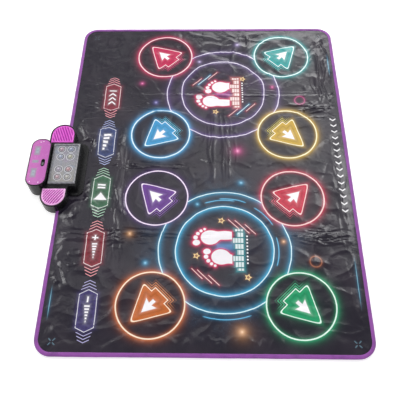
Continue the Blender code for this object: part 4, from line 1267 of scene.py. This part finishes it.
def plate_material():
    paint = moulding("Pink plate", (0.54, 0.145, 0.46), 0.24, (0.62, 0.20, 0.54))
    centre = middle("pod_plate")
    place = paint.place(paint.solid()).moved(centre.x, centre.y)
    # Painted shade: the plate darker towards +x.
    painted_shade = (place.x * (1 / 0.030)).step(-1.0, 1.0)
    paint.lay((0.42, 0.085, 0.40), painted_shade * 0.5)
    for patch_x, patch_y, half_x, half_y in (
        (-0.0095, 0.0415, 0.0090, 0.0170), (-0.0100, 0.0010, 0.0100, 0.0055),
        (-0.0100, -0.0405, 0.0090, 0.0170),
    ):
        local = place.moved(patch_x, patch_y)
        edge = slab(local, half_x - 0.002, half_y - 0.002).most(0.0) - 0.002
        paint.lay((0.29, 0.30, 0.34), edge.fall(-0.0014, 0.0012) * 0.72)
        inner = slab(local, half_x * 0.52, half_y * 0.62)
        paint.lay((0.32, 0.49, 0.50), inner.fall(-0.0012, 0.0008) * 0.55)
        stripe = abs(every(local.y, half_y * 0.62)) - 0.0010
        paint.lay((0.22, 0.20, 0.27), stripe.fall(-0.0003, 0.0006) * inner.fall(-0.001, 0.0) * 0.5)
    # Painted highlights: four small white glints near the plate's ends.
    for glint_x, glint_y in ((-0.0040, 0.0735), (0.0045, 0.0755), (-0.0165, -0.0715), (0.0100, -0.0740)):
        reach = place.moved(glint_x, glint_y).length()
        paint.lay((0.95, 0.86, 0.94), reach.fall(0.0012, 0.0021))
    return paint.material


def stadium_end(side, inset):
    """The outline of a grille: the body's round end, cut straight beside the display block."""
    low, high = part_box("grille_" + side)
    x, outer = (low.x + high.x) / 2, (high.x - low.x) / 2
    radius = outer - inset
    round_y = high.y - outer if side == "far" else low.y + outer
    flat_y = low.y + inset if side == "far" else high.y - inset
    sign = 1 if side == "far" else -1
    turns = np.linspace(0, math.pi, 73)
    points = [(x + radius * math.cos(t), round_y + sign * radius * math.sin(t)) for t in turns]
    straight = np.linspace(round_y, flat_y, 30)[1:]
    points += [(x - radius, y) for y in straight]
    points += [(px, flat_y) for px in np.linspace(x - radius, x + radius, 60)[1:-1]]
    points += [(x + radius, y) for y in straight[::-1]]
    points = np.array(points)
    return points if side == "far" else points[::-1]


def grille_material(side):
    # Per side: the base colour, a lighter tone used for the mottle and the painted highlight on the
    # crests, and the painted shade in the grooves.
    if side == "far":
        colours = (0.64, 0.035, 0.54), (0.82, 0.18, 0.72), (0.32, 0.010, 0.29)
    else:
        colours = (0.74, 0.17, 0.63), (0.94, 0.62, 0.90), (0.30, 0.025, 0.27)
    paint = moulding("Pink grille " + side, colours[0], 0.30, colours[1])
    ridge = paint.field(paint.attribute("ridge", "Fac"))
    # Painted shade in the grooves and painted highlight on the crests, both from the rib height.
    paint.lay(colours[2], ridge.fall(0.0, 0.55) * 0.85)
    paint.lay(colours[1], ridge.step(0.62, 1.0) * 0.55)
    return paint.material


GRILLE_SPACING = 0.0010
RIB_DEPTH = 0.0026
DOME, DOME_RUN = 0.0034, 0.030  # how high the grille's middle stands, and how far in from its edge
RIM_START, RIM_END = 0.0034, 0.0062  # the ribs begin between these distances from the edge


def grille(side, pitch, degrees):
    """A domed grille with slanting ribs and a plain rim."""
    outline = stadium_end(side, 0.0013)
    points, faces = triangulated(outline, [], GRILLE_SPACING)
    low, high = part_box("grille_" + side)
    x, y = points[:, 0], points[:, 1]
    depth = distances(points, outline)
    mid, turn = (low + high) / 2, math.radians(degrees)
    across = (x - mid.x) * math.sin(turn) - (y - mid.y) * math.cos(turn)
    wave = 0.5 + 0.5 * np.cos(across / pitch * math.tau)
    wave = np.clip((wave - 0.18) / 0.64, 0, 1)
    ribbed = falls(-depth, -RIM_END, -RIM_START)
    ridge = 1 - ribbed * (1 - wave)
    crown = DOME * (1 - np.clip(1 - depth / DOME_RUN, 0, 1) ** 2)
    edge = -0.0010 * falls(depth, 0.0, 0.0016)
    z = high.z - 0.0006 + crown + edge - RIB_DEPTH * (1 - ridge)
    count, rim = len(points), len(outline)
    base = [(px, py, low.z) for px, py in outline]
    faces = [tuple(face) for face in faces] + walls(0, rim, count)
    faces.append(tuple(count + i for i in range(rim))[::-1])
    piece = mesh_piece(f"grille_{side}_ribs", [*zip(x, y, z), *base], faces, grille_material(side))
    attribute = piece.data.attributes.new("ridge", "FLOAT", "POINT")
    attribute.data.foreach_set("value", np.concatenate([ridge, np.ones(rim)]).astype(np.float32))
    carry(piece, "mat_left", "pink_grille", "grille_" + side)


def box_outline(low, high, inset=0.0, across=1, along=1):
    """A rectangle's outline with this many steps on its short and long sides."""
    x0, y0, x1, y1 = low.x + inset, low.y + inset, high.x - inset, high.y - inset
    xs, ys = np.linspace(x0, x1, across + 1), np.linspace(y0, y1, along + 1)
    sides = [(x, y0) for x in xs[:-1]] + [(x1, y) for y in ys[:-1]]
    return np.array(sides + [(x, y1) for x in xs[:0:-1]] + [(x0, y) for y in ys[:0:-1]])


def bezel_material():
    """Clear ribbed plastic, shown silvery; its ribs are painted: painted highlight along each rib,
    painted shade between them.
    """
    paint = moulding("Clear bezel", (0.22, 0.22, 0.24), 0.14, (0.36, 0.36, 0.39), 0.3)
    place = paint.place(paint.solid())
    # Slanting stripes: painted highlight along the ribs and painted shade in the gaps between them.
    rib_shading = ((place.y + place.x * 0.8) * (math.tau / 0.0125)).math("SINE")
    paint.lay((0.42, 0.42, 0.46), rib_shading.step(0.0, 0.8) * 0.28)
    paint.lay((0.12, 0.12, 0.13), rib_shading.fall(-0.95, -0.2) * 0.18)
    return paint.material


def guide_material():
    """Silvery diffuser with a ringed lamp in eight places; painted shade to the top right and bottom
    left, a painted highlight on each lamp.
    """
    paint = moulding("Lamp diffuser", (0.33, 0.33, 0.355), 0.34, (0.42, 0.42, 0.45), 0.4)
    solid = paint.solid()
    centre = middle("display_window")
    place = paint.place(solid).moved(centre.x, centre.y)
    blush = paint.mottle((0.36, 0.27, 0.42), paint.noise(solid, 42.0, 2.0), 0.5, 0.75, 0.6)
    paint.lay((0.24, 0.31, 0.44), blush.fall(0.30, 0.48) * 0.6)
    paint.lay((0.40, 0.37, 0.31), place.y.fall(-0.075, 0.010) * 0.75)
    # Painted shade: darker towards the top right and in the corner at the bottom left.
    paint.lay((0.20, 0.21, 0.26), (place.x * 0.6 + place.y).step(0.010, 0.090) * 0.65)
    paint.lay((0.16, 0.18, 0.16), (place.x * 1.6 + place.y).fall(-0.120, -0.075) * 0.6)
    for lamp_x, lamp_y, colour in LAMPS:
        local = place.moved(lamp_x, lamp_y)
        reach = local.length()
        paint.lay((0.80, 0.81, 0.86), abs(reach - 0.0117).fall(0.0007, 0.0017) * 0.9)
        paint.lay(tint(colour, 0.22, 0.10), reach.fall(0.0100, 0.0112) * 0.75)
        paint.lay((0.035, 0.035, 0.045), abs(reach - 0.0097).fall(0.0006, 0.0016) * 0.8)
        paint.lay(tint(colour, 0.32, 0.20), reach.fall(0.0068, 0.0078) * 0.75)
        paint.lay((0.62, 0.62, 0.66), abs(reach - 0.0074).fall(0.0003, 0.0010) * 0.8)
        # A painted highlight on each lamp's dome, and painted shade on the side away from it.
        painted_highlight = local.moved(-0.0018, 0.0022).length()
        paint.lay(tint(colour, 0.4, 0.58), painted_highlight.fall(0.0012, 0.0042) * 0.8)
        painted_shade = local.moved(0.002, -0.0035).length()
        paint.lay(tint(colour, 0.3), painted_shade.fall(0.001, 0.003) * 0.5)
    return paint.material


def light_guide():
    """The diffuser plate and its eight domed lamps."""
    low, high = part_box("light_guide")
    plate_top = low.z + 0.0012
    centre = middle("display_window")
    points, faces = stacked([(box_outline(low, high), z) for z in (low.z, plate_top)])
    profile = [(LAMP_RADIUS, -0.0006), (LAMP_RADIUS, 0.0004), (LAMP_RADIUS - 0.0004, 0.0007)]
    profile += [
        ((LAMP_RADIUS - 0.0010) * math.cos(t), 0.0005 + 0.0017 * math.sin(t))
        for t in np.linspace(0, math.pi / 2 * 0.92, 7)
    ]
    turns = np.arange(32) * math.tau / 32
    circle = np.stack([np.cos(turns), np.sin(turns)], 1)
    for lamp_x, lamp_y, _ in LAMPS:
        place = (centre.x + lamp_x, centre.y + lamp_y)
        dome, dome_faces = stacked([(place + radius * circle, plate_top + z) for radius, z in profile])
        faces += [tuple(len(points) + i for i in face) for face in dome_faces]
        points += dome
    piece = mesh_piece("lamp_diffuser", points, faces, guide_material())
    carry(piece, "mat_left", "lamp_lens", "light_guide")


def window_lid():
    """The clear lid: a bevelled frame, its ribs painted as highlight and shade, round a smoky pane."""
    low, high = WINDOW_LOW, WINDOW_HIGH
    frame_width = 0.0052
    profile = (  # how far in from the lid's edge, and the height
        (0.0, low.z), (0.0, low.z + 0.0030), (0.0007, low.z + 0.0038),
        (frame_width - 0.0012, high.z - 0.0002), (frame_width - 0.0004, high.z),
        (frame_width, high.z - 0.0004), (frame_width, high.z - 0.0022),
        (0.0022, high.z - 0.0028), (0.0020, low.z),
    )
    rings_at = [(box_outline(low, high, inset, 60, 130), z) for inset, z in profile]
    bezel = mesh_piece("window_bezel", *stacked(rings_at, closed=True), bezel_material())
    pane = Painter("Smoky pane", (0.33, 0.33, 0.36), 0.06, Alpha=0.13, Specular_IOR_Level=0.8)
    haze = pane.noise(pane.solid(), 60.0, 3.0)
    pane.lay((0.45, 0.44, 0.48), haze.step(0.4, 0.8))
    inner = box_outline(low, high, frame_width - 0.0008)
    pane_at = [(inner, z) for z in (high.z - 0.0020, high.z - 0.0008)]
    glass = mesh_piece("window_pane", *stacked(pane_at), pane.material)
    carry(bezel, "mat_left", "clear_window", "display_window")
    carry(glass, "mat_left", "clear_window")


def control_unit():
    black = black_plastic()
    for node in ("unit_housing", "unit_base", "pod_housing", "power_switch_body"):
        refined(node, "mat_left", black, "black_moulding")
    refined("battery_door", "battery_door", black, "black_moulding", 0.0004)
    refined("pod_plate", "mat_left", plate_material(), "pink_moulding", 0.0006)
    knob = moulding("Grey knob", (0.12, 0.12, 0.13), 0.35, (0.20, 0.20, 0.22)).material
    refined("power_slider", "power_slider", knob, "grey_knob", 0.0004)
    grille("far", 0.0078, 112)
    grille("near", 0.0066, 56)
    light_guide()
    window_lid()


# Hidden works


def hidden_parts():
    """Materials for the CAD nodes inside the mat and the unit, by their slot."""
    looks = {
        "foam": moulding("White foam", (0.62, 0.61, 0.58), 0.85, (0.75, 0.74, 0.70), 3.0),
        "spacer_foam": moulding("Grey spacer foam", (0.20, 0.20, 0.21), 0.85, (0.30, 0.30, 0.31), 3.0),
        "circuit_film": moulding("Clear circuit film", (0.50, 0.53, 0.55), 0.22, (0.62, 0.64, 0.66)),
        "carbon_contact": moulding("Printed carbon", (0.020, 0.020, 0.022), 0.55, (0.05, 0.05, 0.05)),
        "circuit_board": moulding("Green circuit board", (0.015, 0.11, 0.045), 0.38, (0.03, 0.17, 0.07)),
        "steel": moulding("Bright steel", (0.55, 0.55, 0.56), 0.28, (0.68, 0.68, 0.70)),
        "speaker_cone": moulding("Speaker cone", (0.025, 0.025, 0.027), 0.6, (0.06, 0.06, 0.06), 2.0),
        "cell_jacket": moulding("Cell jacket", (0.03, 0.09, 0.22), 0.25, (0.05, 0.13, 0.30)),
    }
    looks["steel"].shader.inputs["Metallic"].default_value = 1.0
    for node in frame["nodes"].values():
        name = node.data.materials[0].name.split(".")[0] if node.data.materials else ""
        if name in looks:
            node.data.materials.clear()
            node.data.materials.append(looks[name].material)


# Room

CAMERA_LENS = 48.37  # mm, fitted to the mat's outline, as are the place and the turns
CAMERA_PLACE = (0.0190, -0.9399, 1.4179)  # from the mat's middle
CAMERA_TURNS = ((2.489, "Z"), (29.91, "X"), (-1.949, "Z"))
CEILING_LIGHT = 0.30  # strength of the world for diffuse light, and overhead in reflections
FLOOR_LIFT = 0.35  # emission that brings the floor to white where it is seen
LIGHTS = (  # name, place, width, length, radiance
    ("Centre box", (0.33, 1.33, 2.0), 1.20, 1.00, 1.35),
    ("Far right box", (0.98, 2.35, 2.0), 0.70, 0.90, 2.0),
    ("Left box", (-0.92, 1.33, 2.0), 0.46, 2.00, 0.75),
    ("Left strip", (-0.42, 1.33, 2.0), 0.16, 2.00, 0.9),
    ("Near strip", (-0.05, 0.45, 2.0), 1.90, 0.16, 1.6),
    ("Far strip", (-0.50, 2.60, 1.9), 1.20, 0.25, 0.9),
    ("Front fill", (0.20, -1.60, 2.0), 1.20, 1.20, 4.6),
    ("Right side", (1.50, 1.20, 1.9), 0.90, 0.90, 6.0),
    ("Left side", (-1.70, 0.60, 1.7), 0.90, 0.90, 6.5),
    ("Low far", (0.50, 2.60, 1.1), 1.20, 1.20, 4.0),
)


def seen_rays(nodes, links):
    """1 for the rays that show the background: from the camera, in reflections and through glass."""
    path = nodes.new("ShaderNodeLightPath")
    found = path.outputs["Is Camera Ray"]
    for kind in ("Is Glossy Ray", "Is Transmission Ray"):
        most = nodes.new("ShaderNodeMath")
        most.operation = "MAXIMUM"
        links.new(found, most.inputs[0])
        links.new(path.outputs[kind], most.inputs[1])
        found = most.outputs[0]
    return found


def room():
    scene = bpy.context.scene
    scene.view_settings.view_transform = "Standard"
    camera = bpy.data.objects.new("Camera", bpy.data.cameras.new("Camera"))
    scene.collection.objects.link(camera)
    scene.camera = camera
    camera.data.lens, camera.data.sensor_width = CAMERA_LENS, 36
    placed = Matrix.Translation((MIDDLE_X + CAMERA_PLACE[0], *CAMERA_PLACE[1:]))
    for degrees, axis in CAMERA_TURNS:
        placed @= Matrix.Rotation(math.radians(degrees), 4, axis)
    camera.matrix_world = placed

    world = bpy.data.worlds.new("Studio")
    scene.world = world
    world.use_nodes = True
    nodes, links = world.node_tree.nodes, world.node_tree.links
    nodes["Background"].inputs["Color"].default_value = (1, 1, 1, 1)
    nodes["Background"].inputs["Strength"].default_value = CEILING_LIGHT
    shown, way = nodes.new("ShaderNodeBackground"), nodes.new("ShaderNodeSeparateXYZ")
    shown.inputs["Color"].default_value = (1, 1, 1, 1)
    links.new(nodes.new("ShaderNodeTexCoord").outputs["Generated"], way.inputs[0])
    height = nodes.new("ShaderNodeMapRange")
    height.interpolation_type = "SMOOTHSTEP"
    links.new(way.outputs["Z"], height.inputs[0])
    for plug, value in zip(list(height.inputs)[1:5], (0.38, 0.55, 1.0, CEILING_LIGHT)):
        plug.default_value = value  # white up to 22 degrees over the horizon, dim from 33 degrees
    links.new(height.outputs[0], shown.inputs["Strength"])
    mix = nodes.new("ShaderNodeMixShader")
    links.new(seen_rays(nodes, links), mix.inputs[0])
    links.new(nodes["Background"].outputs[0], mix.inputs[1])
    links.new(shown.outputs[0], mix.inputs[2])
    links.new(mix.outputs[0], nodes["World Output"].inputs[0])

    for name, place, width, length, radiance in LIGHTS:
        lamp = bpy.data.objects.new(name, bpy.data.lights.new(name, "AREA"))
        lamp.data.shape = "RECTANGLE"
        lamp.data.size, lamp.data.size_y = width, length
        lamp.data.energy = radiance * math.pi * width * length
        lamp.location = place
        lamp.rotation_euler = (-Vector(place)).to_track_quat("-Z", "Y").to_euler()
        scene.collection.objects.link(lamp)

    paint = Painter("Floor", (0.9, 0.9, 0.9), 0.9)
    nodes, links = paint.tree.nodes, paint.tree.links
    lit, mixed = nodes.new("ShaderNodeEmission"), nodes.new("ShaderNodeAddShader")
    gate = paint.field(seen_rays(nodes, links)) * FLOOR_LIFT
    links.new(gate.socket, lit.inputs["Strength"])
    links.new(paint.shader.outputs[0], mixed.inputs[0])
    links.new(lit.outputs[0], mixed.inputs[1])
    links.new(mixed.outputs[0], nodes["Material Output"].inputs[0])
    bpy.ops.mesh.primitive_plane_add(size=14, location=(0, 0, 0))
    floor = bpy.context.object
    floor.name = "Floor"
    floor.data.materials.append(paint.material)


room()
main_sheet(edge_binding())
pads_and_keys()
underside()
control_unit()
hidden_parts()
